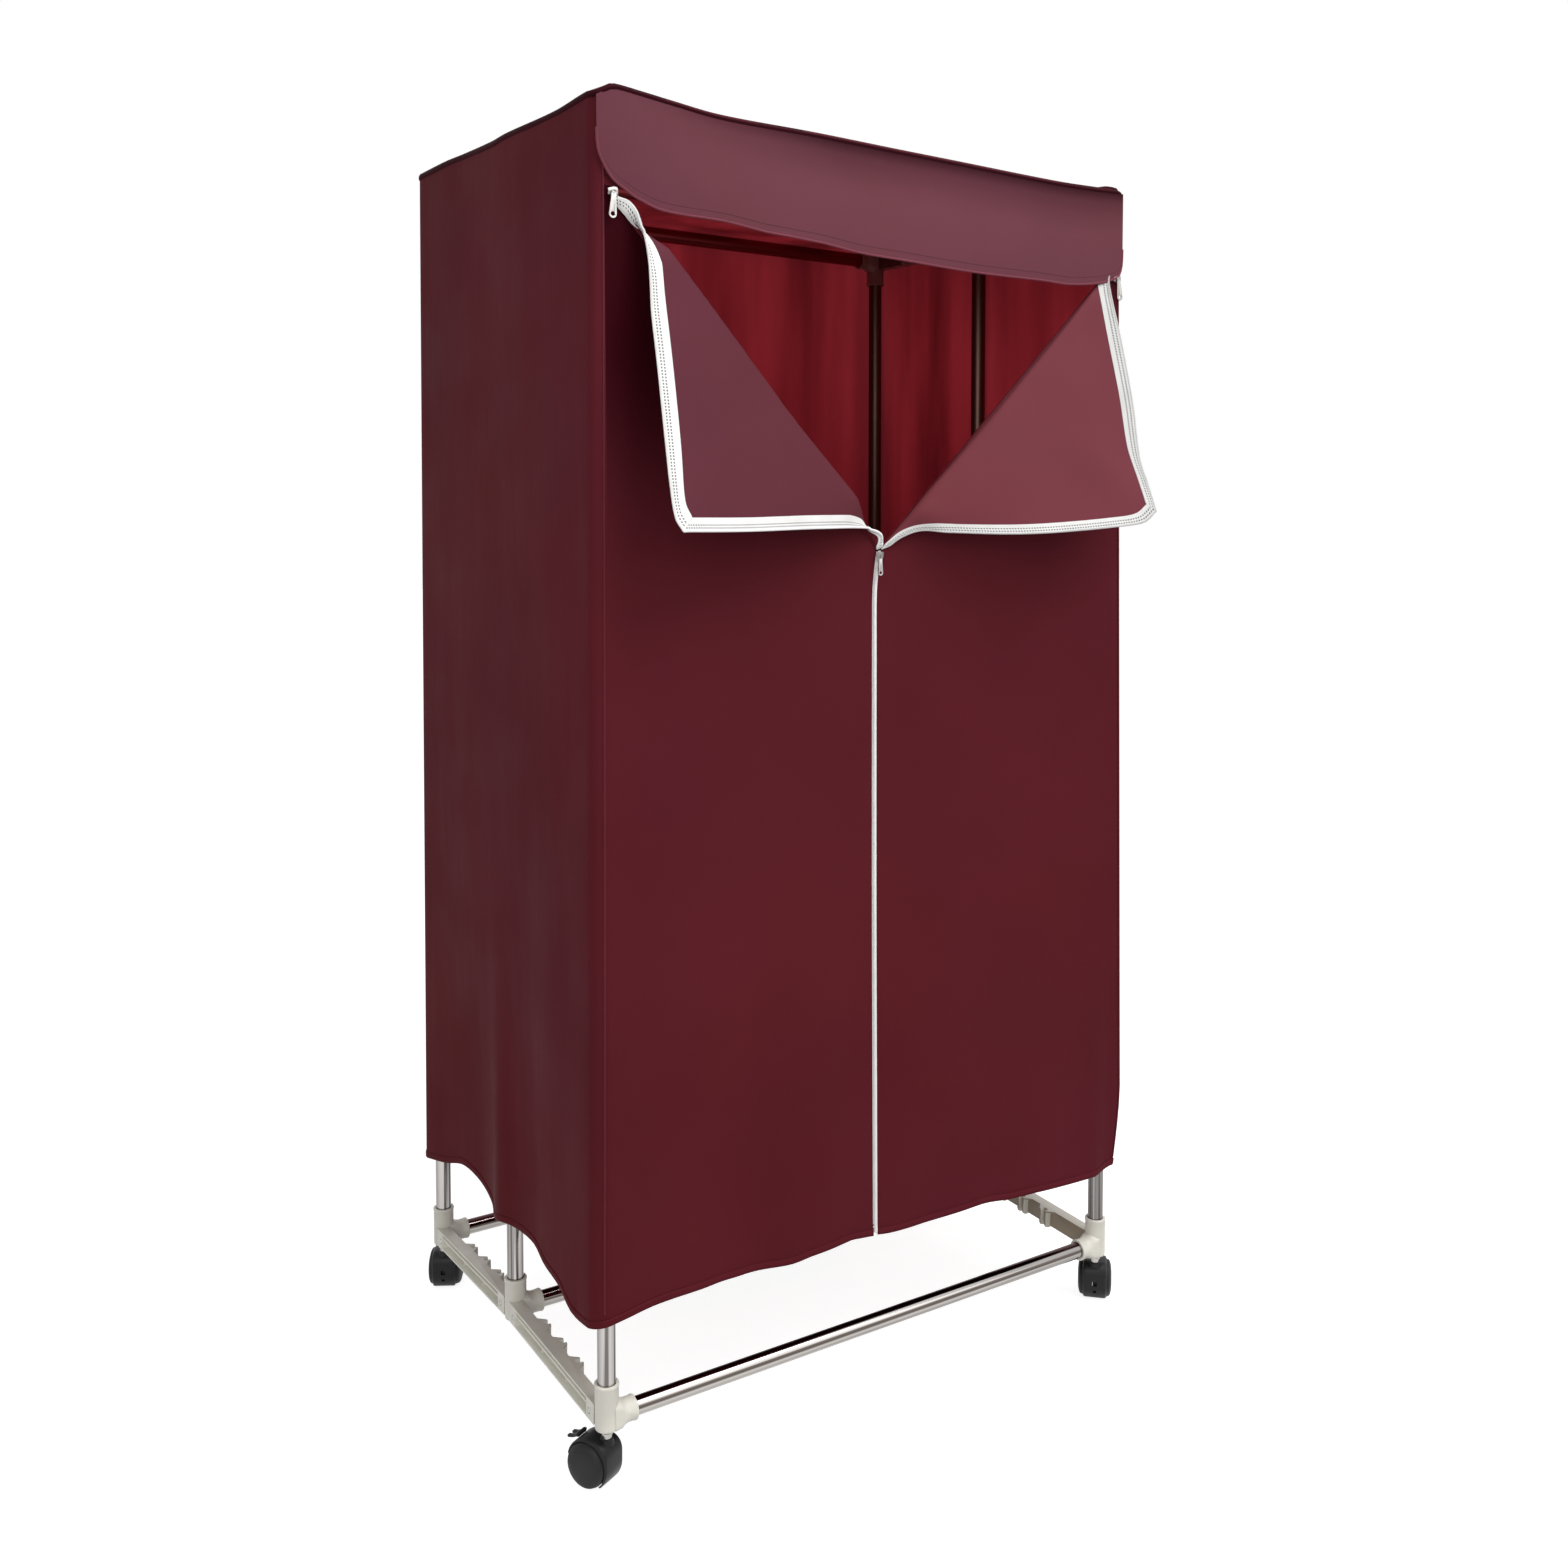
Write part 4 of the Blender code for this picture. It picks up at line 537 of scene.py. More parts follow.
# Inner faces: a bright red standing in for light through the cloth, with a painted glow.
MAROON_LINING = cloth_finish("maroon_lining_painted_glow", (0.45, 0.026, 0.040), 0.65, 0.05, stitched=False,
                             glow=(0.092, 0.0082, 0.0115))
# The roof's rolled edge: near black, as painted shade.
MAROON_BINDING_SHADE = cloth_finish("maroon_binding_painted_shade", (0.034, 0.0050, 0.0078), 0.55, 0.012,
                              stitched=False)
COVER_CLOTH = [MAROON_CLOTH, MAROON_LINING]
# The welt at the left front corner: lighter, as a painted highlight on the corner's bend.
SEAM_HIGHLIGHT_CLOTH = cloth_finish("maroon_seam_painted_highlight", (0.130, 0.022, 0.030), 0.50, 0.05, stitched=False)
ZIP_TAPE = tape_finish("zip_tape", (0.84, 0.835, 0.82))
# The right lapel's tape: greyer, and greyer still before its corner, as painted shade.
LAPEL_TAPES = {"left": ZIP_TAPE,
               "right": tape_finish("zip_tape_right_painted_shade", (0.76, 0.755, 0.74), (0.0036, 0.0076),
                                    shade=(0.28, 0.36, 0.80))}
ZIP_TEETH = moulded_finish("zip_teeth", (0.88, 0.875, 0.86), 0.42, 900, tone=0.03)
# The right lapel's teeth: greyer, as painted shade.
LAPEL_TEETH = {"left": ZIP_TEETH,
               "right": moulded_finish("zip_teeth_right_painted_shade", (0.64, 0.64, 0.63), 0.45, 900,
                                       tone=0.03)}
# Ivory with painted shade, with a red cast, at the top of the frame.
IVORY = moulded_finish("ivory_plastic_parts_painted_shade", (0.76, 0.74, 0.66), 0.38, 420, specular=0.35,
                       under_cover=True)
# The combs also take painted shade on their inward faces.
COMB_IVORY = moulded_finish("ivory_plastic_combs_painted_shade", (0.76, 0.74, 0.66), 0.38, 420, specular=0.35,
                            under_cover=True, inner=(0.42, 0.35, 0.28))
BLACK = moulded_finish("black_caster_plastic", (0.010, 0.010, 0.011), 0.42, 700, tone=0.15,
                       specular=0.22)
TYRE = moulded_finish("black_wheel_tread", (0.011, 0.011, 0.0115), 0.55, 500, tone=0.15,
                      specular=0.25)
# Uprights: painted shade and red reflection above the hem, painted shade on turned-away sides and
# on the right posts.
PLATED_UPRIGHT = metal_finish("plated_upright_painted_shade", (0.50, 0.475, 0.46), 0.08, 0.18,
                              drawn=(1, 1, 0.01), streaks=0.72,
                              under_cover=(0.105, 0.060, 0.048), rim=0.45)
# Crossbars: painted reflection bands, with painted shade and red reflection above the hem.
PLATED_CROSSBAR = metal_finish("plated_crossbar_painted_reflection", (0.62, 0.605, 0.59), 0.08, 0.18,
                               drawn=(0.01, 1, 1), streaks=0.30,
                               under_cover=(0.22, 0.030, 0.034), bands=TUBE_REFLECTION_BANDS)
ZINC = metal_finish("zinc_slider", (0.43, 0.41, 0.395), 0.22, 0.38, bump=0.2)
SLIDER_ZINC = metal_finish("zinc_slider_body", (0.26, 0.25, 0.24), 0.25, 0.40, bump=0.2)
SCREW_STEEL = metal_finish("screw_steel", (0.42, 0.41, 0.39), 0.28, 0.42, bump=0.2)
SHELL_GREY = moulded_finish("heater_shell_plastic", (0.70, 0.70, 0.675), 0.42, 600)
DARK_GREY = moulded_finish("heater_dark_plastic", (0.045, 0.045, 0.05), 0.45, 600, tone=0.1)
MOTOR_STEEL = metal_finish("motor_can_steel", (0.52, 0.52, 0.51), 0.30, 0.45, bump=0.2)
FIN_METAL = metal_finish("heater_fin_metal", (0.62, 0.62, 0.60), 0.28, 0.40, bump=0.2)


# Pieces
def as_mesh(name, work):
    mesh = bpy.data.meshes.new(name)
    work.to_mesh(mesh)
    work.free()
    return mesh


def linked(name, data):
    """A new object in the scene."""
    made = bpy.data.objects.new(name, data)
    bpy.context.scene.collection.objects.link(made)
    return made


def finished_mesh(mesh, modifiers):
    """The mesh with its modifiers applied; modifiers are (kind, settings) pairs."""
    draft = linked("draft", mesh)
    for kind, settings in modifiers:
        step = draft.modifiers.new(kind, kind)
        for key, value in settings.items():
            setattr(step, key, value)
    graph = bpy.context.evaluated_depsgraph_get()
    result = bpy.data.meshes.new_from_object(draft.evaluated_get(graph))
    bpy.data.objects.remove(draft, do_unlink=True)
    return result


def piece(name, mesh, finishes, body="frame", nodes=(), home=True, crease=40):
    """Puts a mesh in place as a named piece on its body, in place of the nodes it stands for."""
    if home:
        mesh.transform(HOME)
    faces = [face.material_index for face in mesh.polygons]
    mesh.materials.clear()
    for finish in finishes:
        mesh.materials.append(finish)
    mesh.polygons.foreach_set("material_index", [min(i, len(finishes) - 1) for i in faces])
    mesh.shade_smooth()
    mesh.set_sharp_from_angle(angle=radians(crease))
    made = linked(name, mesh)
    if body:
        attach(made, body)
    if nodes:
        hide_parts(*nodes)
    return made


def placed(mesh, place):
    """A copy of a mesh under a placement, kept right side out when mirrored."""
    copy = mesh.copy()
    copy.transform(place)
    if place.determinant() < 0:
        copy.flip_normals()
    return copy


def gathered(meshes):
    work = bmesh.new()
    for mesh in meshes:
        work.from_mesh(mesh)
    return as_mesh("gathered", work)


def shift(x=0, y=0, z=0):
    return Matrix.Translation((x, y, z))


def turn(angle, axis):
    return Matrix.Rotation(angle, 4, axis)


def flip(x=1, y=1, z=1):
    return Matrix.Diagonal((x, y, z, 1))


def turned(profile, sides):
    """Spins an (r, z) profile about Z; it runs from the top down its outer side."""
    work = bmesh.new()
    line = [work.verts.new((r, 0, z)) for r, z in profile]
    edges = [work.edges.new(pair) for pair in zip(line, line[1:])]
    bmesh.ops.spin(work, geom=line + edges, cent=(0, 0, 0), axis=(0, 0, 1), angle=2 * pi,
                   steps=sides, use_merge=True)
    bmesh.ops.remove_doubles(work, verts=work.verts, dist=1e-6)
    bmesh.ops.recalc_face_normals(work, faces=work.faces)
    return as_mesh("turned", work)


def smooth_corner(centre_r, centre_z, radius, start, end, steps=5):
    """Points of an arc, from one angle in degrees to another, in an (r, z) profile."""
    angles = [radians(start + (end - start) * i / steps) for i in range(steps + 1)]
    return [(centre_r + radius * cos(a), centre_z + radius * sin(a)) for a in angles]


def clamp(x):
    return max(0.0, min(1.0, x))


def eased(x):
    """0 to 1 with a soft start and end."""
    return x * x * (3 - 2 * x)


def hermite(p0, m0, p1, m1, t):
    """A curve from p0 to p1 that leaves with slope m0 and arrives with m1."""
    return (p0 * (2 * t ** 3 - 3 * t ** 2 + 1) + m0 * (t ** 3 - 2 * t ** 2 + t)
            + p1 * (3 * t ** 2 - 2 * t ** 3) + m1 * (t ** 3 - t ** 2))


def runs(points, least=0.0):
    """The length from the start of a line of points to each of them."""
    run = [0.0]
    for a, b in zip(points, points[1:]):
        run.append(run[-1] + max((b - a).length, least))
    return run


def follow(table, x):
    """A smooth curve through (position, value) pairs, level beyond its ends."""
    if x <= table[0][0]:
        return table[0][1]
    if x >= table[-1][0]:
        return table[-1][1]
    i = max(k for k, pair in enumerate(table[:-1]) if pair[0] <= x)

    def slope(k):
        before, after = table[max(k - 1, 0)], table[min(k + 1, len(table) - 1)]
        return (after[1] - before[1]) / (after[0] - before[0])

    x0, y0 = table[i]
    x1, y1 = table[i + 1]
    width = x1 - x0
    return hermite(y0, slope(i) * width, y1, slope(i + 1) * width, (x - x0) / width)


def by_length(points):
    """A table of (share of length, point) along a line of points."""
    points = [Vector(p) for p in points]
    run = runs(points)
    return [(r / run[-1], p) for r, p in zip(run, points)]


def stations(*marks):
    """Stations from (start, end, count) runs, each without its last but the final one."""
    found = []
    for start, end, count in marks:
        found += [start + (end - start) * i / count for i in range(count)]
    return found + [marks[-1][1]]


def close_ends(count):
    """Stations from 0 to 1 that lie closer together towards both ends."""
    return [0.5 - 0.5 * cos(pi * i / count) for i in range(count + 1)]


def grid_mesh(name, surface, across, up, turned_over=False):
    """A sheet through surface(u, v) at stations across and up, with a map in metres."""
    work = bmesh.new()
    columns, rows = len(across) - 1, len(up) - 1
    bmesh.ops.create_grid(work, x_segments=columns, y_segments=rows, size=0.5)
    key = {}
    points = [[Vector(surface(u, v)) for v in up] for u in across]
    for vert in work.verts:
        key[vert] = (round((vert.co.x + 0.5) * columns), round((vert.co.y + 0.5) * rows))
    run_u = runs([column[rows // 2] for column in points])
    run_v = runs(points[columns // 2])
    over = work.loops.layers.uv.new("cloth")
    for face in work.faces:
        for loop in face.loops:
            i, j = key[loop.vert]
            loop[over].uv = (run_u[i], run_v[j])
    for vert in work.verts:
        i, j = key[vert]
        vert.co = points[i][j]
    if turned_over:
        bmesh.ops.reverse_faces(work, faces=work.faces)
    return as_mesh(name, work)


def walled(mesh, thickness=CLOTH):
    """Gives a sheet its thickness behind its face, with the second finish on its back."""
    for finish in (MAROON_CLOTH, MAROON_LINING, MAROON_BINDING_SHADE, MAROON_LINING):
        mesh.materials.append(finish)
    return finished_mesh(mesh, [("SOLIDIFY", {
        "thickness": thickness, "offset": -1, "use_even_offset": False,
        "material_offset": 1, "material_offset_rim": 0})])


def strand(points, radius, sides=8, pulse=None):
    """A round strand along a line of points; pulse(i) changes its radius."""
    points = [Vector(p) for p in points]
    count = len(points)
    work = bmesh.new()
    bmesh.ops.create_grid(work, x_segments=count - 1, y_segments=sides, size=0.5)
    frames = []
    side = None
    for i, here in enumerate(points):
        ahead = points[min(i + 1, count - 1)] - points[max(i - 1, 0)]
        along = ahead.normalized()
        if side is None:
            side = along.orthogonal().normalized()
        side = (side - along * side.dot(along)).normalized()
        frames.append((here, side, along.cross(side)))
    over = work.loops.layers.uv.new("cloth")
    run = runs(points)
    for vert in work.verts:
        i = round((vert.co.x + 0.5) * (count - 1))
        angle = 2 * pi * (vert.co.y + 0.5)
        vert.co.z = 0
        for loop in vert.link_loops:
            loop[over].uv = (run[i], angle * radius)
        here, side, up = frames[i]
        wide = radius * (pulse(i) if pulse else 1)
        vert.co = here + side * (wide * cos(angle)) + up * (wide * sin(angle))
    bmesh.ops.remove_doubles(work, verts=work.verts, dist=1e-6)
    bmesh.ops.holes_fill(work, edges=[e for e in work.edges if e.is_boundary])
    bmesh.ops.recalc_face_normals(work, faces=work.faces)
    return as_mesh("strand", work)


# Shape of the cover
def drop_share(z):
    """0 at the roof, 1 at the hem."""
    return (ROOF_Z - z) / (ROOF_Z - HEM_Z)


def wall_x(z):
    return WALL_TOP_X + WALL_FLARE * drop_share(z)


def wall_y(z):
    return WALL_TOP_Y + WALL_FLARE * drop_share(z)


def corner_round(z):
    return CORNER_TOP + (CORNER_HEM - CORNER_TOP) * clamp(drop_share(z))


def folds_share(z):
    """1 at the hem, easing to 0 where the folds of the hem run out."""
    return eased(clamp(1 - (z - HEM_Z) / FOLDS_HEIGHT))


def soft_folds(along, z, seed):
    """Faint upright folds of hanging cloth, a little deeper low down."""
    wide = noise.noise(Vector((along * 5.5, z * 0.9, seed)))
    narrow = noise.noise(Vector((along * 17, z * 1.6, seed + 7)))
    return (0.0016 + 0.0022 * drop_share(z)) * wide + 0.0006 * narrow


def corner_pull(sx, z):
    """How far the front corner on the right leans out, and is drawn in near the hem."""
    share = clamp(1 - (z - HEM_Z) / CORNER_PULL_HEIGHT)
    return CORNER_PULL * share ** 1.4 - CORNER_LEAN * drop_share(z) if sx > 0 else 0.0


def front_seam(sx, z):
    """Distance of a front corner's seam from the middle; the corner on the right is sharper."""
    return wall_x(z) - (CORNER_TOP if sx > 0 else corner_round(z)) - corner_pull(sx, z)


def side_share(along):
    """Share of a side panel's flat run, from its rear corner to its front corner."""
    return clamp((along - SIDE_BEND) / (1 - 2 * SIDE_BEND))


def side_hem(sx, along):
    """Height of a side panel's hem, running into the front's at the front corner."""
    share = side_share(along)
    hem = follow(SIDE_HEM_Z, (wall_y(HEM_Z) - CORNER_HEM) * (1 - 2 * share))
    if along > 1 - SIDE_BEND:
        front = FRONT_HEM_Z[0 if sx < 0 else -1][1]
        hem += (front - hem) * (along - (1 - SIDE_BEND)) / SIDE_BEND
    return hem + corner_lift(sx, share)


def corner_lift(sx, share):
    """How far the hem rises to the front corner on the right; share is 1 at the corner."""
    near = max(0.0, 1 - (1 - share) / CORNER_LIFT_SHARE)
    return CORNER_LIFT * near ** 1.6 if sx > 0 else 0.0


def gathers(share, z):
    """Small pleats of a side beside its front corner, running out above the hem."""
    low = clamp(1 - (z - HEM_Z) / GATHER_HEIGHT)
    near = max(0.0, 1 - abs(share - GATHER_SHARE) / 0.055)
    return GATHER_DEPTH * low ** 2 * near * sin(2 * pi * share * 42)


def hem_stand(height):
    """How far the turned hem stands proud at a height above its edge."""
    if height > HEM_WIDTH + 0.001:
        return 0.0
    if height > HEM_WIDTH - 0.001:
        return -0.0002
    return HEM_STAND if height > 0.0008 else HEM_STAND / 3


def panel_height(row, hem, top):
    """Height above the hem at one of PANEL_ROWS: the hem's own rows keep their heights."""
    start = HEM_ROWS[-1]
    return row if row <= start else start + (top - hem - start) * (row - start) / (1 - start)


def front_wall_y(x, z):
    """The front in plan: from the corner seam in to the zip line, with the hem's folds."""
    seam = front_seam(x, z)
    share = min(1.0, abs(x) / seam)
    straight = -wall_y(z) * share + (follow(ZIP_Y, z) - CLOTH) * (1 - share)
    ease = min(1.0, (1 - share) * 12)
    return straight + (follow(FRONT_HEM_IN, x) * folds_share(z)
                       + soft_folds(x, z, 3.1) * min(1.0, share * 8)) * ease


def side_wall(sx, along, z, height):
    """A point of a side panel: along runs 0 to 1 from the rear seam over the side to the front."""
    hx, hy, r = wall_x(z), wall_y(z), corner_round(z)
    if sx > 0 and along > 0.5:
        r = CORNER_TOP
    stand = hem_stand(height)
    if along < SIDE_BEND:
        angle = pi / 2 * along / SIDE_BEND
        point = Vector((hx - r + (r + stand) * sin(angle), hy - r + (r + stand) * cos(angle), z))
    elif along > 1 - SIDE_BEND:
        angle = pi / 2 * (along - (1 - SIDE_BEND)) / SIDE_BEND
        point = Vector((hx - r + (r + stand) * cos(angle) - corner_pull(sx, z),
                        -(hy - r + (r + stand) * sin(angle)), z))
    else:
        share = side_share(along)
        y = (hy - r) * (1 - 2 * share)
        inward = follow(SIDE_HEM_IN, y) * folds_share(z)
        ease = min(1.0, 10 * min(share, 1 - share))
        inward += corner_pull(sx, z) * share ** 4
        if sx < 0:
            inward += gathers(share, z)
        point = Vector((hx + stand - inward - soft_folds(y, z, 11.7 + sx) * ease, y, z))
    return Vector((sx * point.x, point.y, z))


def roof_edge(x, y):
    """Height of the roof's edge, and of the cloth between the edges."""
    u = clamp((x / WALL_TOP_X + 1) / 2)
    v = clamp((y / WALL_TOP_Y + 1) / 2)
    left, right = follow(ROOF_LEFT, y), follow(ROOF_RIGHT, y)
    front, rear = follow(ROOF_FRONT, x), follow(ROOF_REAR, x)
    corners = ((ROOF_LEFT[0][1] * (1 - v) + ROOF_LEFT[-1][1] * v) * (1 - u)
               + (ROOF_RIGHT[0][1] * (1 - v) + ROOF_RIGHT[-1][1] * v) * u)
    return left * (1 - u) + right * u + front * (1 - v) + rear * v - corners


def over_post(x, y, height):
    """Height of the roof's cloth where a corner connector holds it up."""
    lift = FRAME_TOP + ROOF_OVER_POST - height
    if lift <= 0:
        return height
    away = hypot(abs(x) - POST_X, abs(y) - POST_Y)
    gap_x, gap_y = WALL_TOP_X - abs(x), WALL_TOP_Y - abs(y)
    gap = min(gap_x, gap_y)
    if max(gap_x, gap_y) < CORNER_TOP:
        gap = CORNER_TOP - hypot(CORNER_TOP - gap_x, CORNER_TOP - gap_y)
    return height + lift * clamp(gap / 0.0018) * eased(clamp((0.034 - away) / 0.021))


def roof_outline(share, grow=0.0):
    """A point of the roof's rounded outline, share 0 to 1 of the way round."""
    hx, hy, r = WALL_TOP_X + grow, WALL_TOP_Y + grow, CORNER_TOP + grow
    straight_x, straight_y = 2 * (hx - r), 2 * (hy - r)
    bend = pi / 2 * r
    run = share * (2 * straight_x + 2 * straight_y + 4 * bend)
    legs = [(straight_x, -(hx - r), -hy, 1, 0), (straight_y, hx, -(hy - r), 0, 1),
            (straight_x, hx - r, hy, -1, 0), (straight_y, -hx, hy - r, 0, -1)]
    for length, x, y, dx, dy in legs:
        if run <= length:
            return x + dx * run, y + dy * run
        run -= length
        if run <= bend:
            angle = run / r
            cx, cy = x + dx * length - dy * r, y + dy * length + dx * r
            return (cx + r * (dy * cos(angle) + dx * sin(angle)),
                    cy + r * (-dx * cos(angle) + dy * sin(angle)))
        run -= bend
    return -(hx - r), -hy


def build_cover():
    bend = stations((0, SIDE_BEND, 8), (SIDE_BEND, 1 - SIDE_BEND, 46), (1 - SIDE_BEND, 1, 8))
    for side, sx in SIDES.items():
        def surface(u, v, sx=sx):
            along = u if sx < 0 else 1 - u
            y = (wall_y(HEM_Z) - CORNER_HEM) * (1 - 2 * side_share(along))
            hem = side_hem(sx, along)
            height = panel_height(v, hem, roof_edge(sx * WALL_TOP_X, y) - PANEL_TUCK)
            return side_wall(sx, along, hem + height, height)

        mesh = walled(grid_mesh(f"cover_{side}", surface, bend, PANEL_ROWS))
        panel = piece(f"side_panel_{side}", mesh, COVER_CLOTH,
                      nodes=[f"cover_{side}_side"])
        welt = [side_wall(sx, 0.995 - (0.035 * drop_share(z) if sx < 0 else 0.01), z, 1)
                + Vector((0, -0.0003, 0)) for z in stations((0.190, 1.394, 90))]
        # Only the left welt takes the lighter painted highlight.
        piece(f"corner_seam_{side}", strand(welt, 0.0010, 6),
              [SEAM_HIGHLIGHT_CLOTH if sx < 0 else MAROON_CLOTH])

    def back(u, v):
        hem = HEM_Z + 0.004 * sin(pi * u)
        x = (wall_x(HEM_Z) - CORNER_HEM) * (1 - 2 * u)
        height = panel_height(v, hem, roof_edge(x, WALL_TOP_Y) - PANEL_TUCK)
        z = hem + height
        half = wall_x(z) - corner_round(z)
        ease = min(1.0, 12 * min(u, 1 - u))
        wave = BACK_WAVE * sin(5 * pi * u) * sin(pi * u) * folds_share(z)
        folds = BACK_FOLDS * noise.noise(Vector((x * 9, z * 0.7, 23.0)))
        return (half * (1 - 2 * u), wall_y(z) + hem_stand(height) - (wave + folds) * ease, z)

    mesh = walled(grid_mesh("cover_back", back, stations((0, 1, 60)), PANEL_ROWS))
    panel = piece("back_panel", mesh, COVER_CLOTH,
                  nodes=["cover_back"])

    for side, sx in SIDES.items():
        def front(u, v, sx=sx):
            from_zip = u if sx > 0 else 1 - u
            hem = follow(FRONT_HEM_Z, sx * HEM_HALF * from_zip) + corner_lift(sx, from_zip)
            if from_zip > FRONT_STRIP:
                height = panel_height(v, hem, STRIP_TOP)
                share = (from_zip - FRONT_STRIP) / (1 - FRONT_STRIP)
                x = FOLD_X + (front_seam(sx, hem + height) - FOLD_X) * share
            else:
                x = ZIP_HALF + (FOLD_X - ZIP_HALF) * from_zip / FRONT_STRIP
                height = panel_height(v, hem, FOLD_LOW + (FOLD_TOP - FOLD_LOW) * x / FOLD_X)
            z = hem + height
            lean = follow(ZIP_X, z) * max(0.0, 1 - x / 0.12) ** 2
            return (sx * x + lean, front_wall_y(sx * x, z) - hem_stand(height), z)

        across = stations((0, FRONT_STRIP, 44), (FRONT_STRIP + 1e-4, 1, 3))
        if sx < 0:
            across = [1 - u for u in reversed(across)]
        mesh = walled(grid_mesh(f"front_{side}", front, across, PANEL_ROWS))
        panel = piece(f"front_panel_{side}_cloth", mesh, [FRONT_CLOTHS[side], MAROON_LINING],
                      nodes=[f"front_panel_{side}"])


def build_roof():
    scales = (0.0, 0.2, 0.4, 0.6, 0.75, 0.86, 0.93, 0.965, 0.985, 0.992, 0.996, 1.0)
    rings = [(scale, None) for scale in scales] + [(1.0, roll) for roll in ROOF_ROLL]

    def lid(u, v):
        scale, roll = rings[round(v * (len(rings) - 1))]
        if roll is None:
            x, y = roof_outline(1 - u)
            x, y = x * scale, y * scale
            across = max(abs(x) / WALL_TOP_X, abs(y) / WALL_TOP_Y)
            sag = (ROOF_SAG * (1 - across ** 4)
                   + ROOF_DIP * sin(pi * y / POST_Y) ** 2 * (1 - across))
            ripple = (ROOF_RIPPLE * noise.noise(Vector((x * 11, y * 11, 5.0)))
                      * (1 - across ** 6))
            return (x, y, over_post(x, y, roof_edge(x, y) - sag + ripple))
        grow, drop = roll
        front = ROOF_FRONT_ROLL if on_front(1 - u) else 0.0
        x, y = roof_outline(1 - u, grow)
        base_x, base_y = roof_outline(1 - u)
        return (x, y - front * min(1, drop / 0.004), roof_edge(base_x, base_y) - drop)

    mesh = grid_mesh("roof", lid, stations((0, 1, 400)), stations((0, 1, len(rings) - 1)))
    work = bmesh.new()
    work.from_mesh(mesh)
    bmesh.ops.remove_doubles(work, verts=work.verts, dist=1e-5)
    bmesh.ops.dissolve_degenerate(work, edges=work.edges, dist=1e-6)
    bmesh.ops.recalc_face_normals(work, faces=work.faces)
    if sum(face.normal.z for face in work.faces) < 0:
        bmesh.ops.reverse_faces(work, faces=work.faces)
    # Faces of the roof's rim take the near-black binding, painted shade.
    for face in work.faces:
        if hypot(face.normal.x, face.normal.y) > 0.6:
            face.material_index = 2
    mesh = walled(as_mesh("roof", work))
    roof = piece("cover_roof_lid", mesh,
                 [MAROON_CLOTH, MAROON_LINING, MAROON_BINDING_SHADE, MAROON_LINING],
                 nodes=["cover_roof"])


def on_front(share):
    """Whether a point of the roof's outline is on its front edge."""
    return roof_outline(share)[1] < -WALL_TOP_Y + CORNER_TOP / 2


def build_header():
    """The strip of the front over the opening, with the upper halves of the top zips."""
    def strip(u, v):
        x = (WALL_TOP_X - CORNER_TOP) * (2 * u - 1)
        top = roof_edge(x, -WALL_TOP_Y) - HEADER_TUCK
        z = HEADER_FOOT + (top - HEADER_FOOT) * v
        return (x, -wall_y(z) - 0.0002, z)

    mesh = walled(grid_mesh("header", strip, stations((0, 1, 40)), stations((0, 1, 6))))
    header = piece("front_header", mesh, COVER_CLOTH)

    def tape(u, v):
        x = TOP_ZIP_START + TOP_ZIP_LENGTH * u
        return (x, -wall_y(FOLD_TOP) - 0.0016 + 0.0006 * sin(pi * v), 1.3225 - 0.013 * (1 - v))

    strip_mesh = walled(grid_mesh("top_tape", tape, stations((0, 1, 60)), stations((0, 1, 3))),
                        0.0008)
    piece("top_zip_tape", strip_mesh, [ZIP_TAPE, ZIP_TAPE])
    count = 2 * int(TOP_ZIP_LENGTH / TEETH_PITCH)
    line = [(TOP_ZIP_START + TOP_ZIP_LENGTH * i / count, -wall_y(FOLD_TOP) - 0.0014, TOP_TEETH_Z)
            for i in range(count + 1)]
    piece("top_zip_teeth", strand(line, TEETH_RADIUS, 5, pulse=lambda i: 1.25 - 0.5 * (i % 2)),
          [ZIP_TEETH], crease=60)


def valance_point(x, share, stand=0.0):
    """share runs 0 at the lower edge to 1 at the top, under the roof's rolled edge."""
    low = follow(VALANCE_EDGE, x)
    top = roof_edge(x, -WALL_TOP_Y) - VALANCE_TUCK
    z = low + (top - low) * share
    ends = 1 - (abs(x) / VALANCE_HALF) ** 10
    belly = VALANCE_BELLY * sin(pi * min(1, (1 - share) * 0.62)) * ends
    ripple = 0.0012 * noise.noise(Vector((x * 7, z * 4, 31.0))) * (1 - share)
    return Vector((x, -VALANCE_Y - belly - ripple - stand, z))


def build_valance():
    across = [VALANCE_HALF * (2 * share - 1) for share in close_ends(72)]
    shares = stations((0, 0.02, 1), (0.02, 0.1, 3), (0.1, 1, 12))
    mesh = grid_mesh("valance", valance_point, across, shares)
    valance = piece("front_valance_cloth", walled(mesh), [VALANCE_SHEEN_AND_SHADE_CLOTH, VALANCE_LINING],
                    body="valance", nodes=["front_valance"])
    # The hem strand takes the lighter painted highlight.
    edge = [valance_point(x, 0, -0.0004) for x in across]
    binding = piece("valance_hem", strand(edge, 0.0014, 8), [VALANCE_HEM_HIGHLIGHT],
                    body="valance")


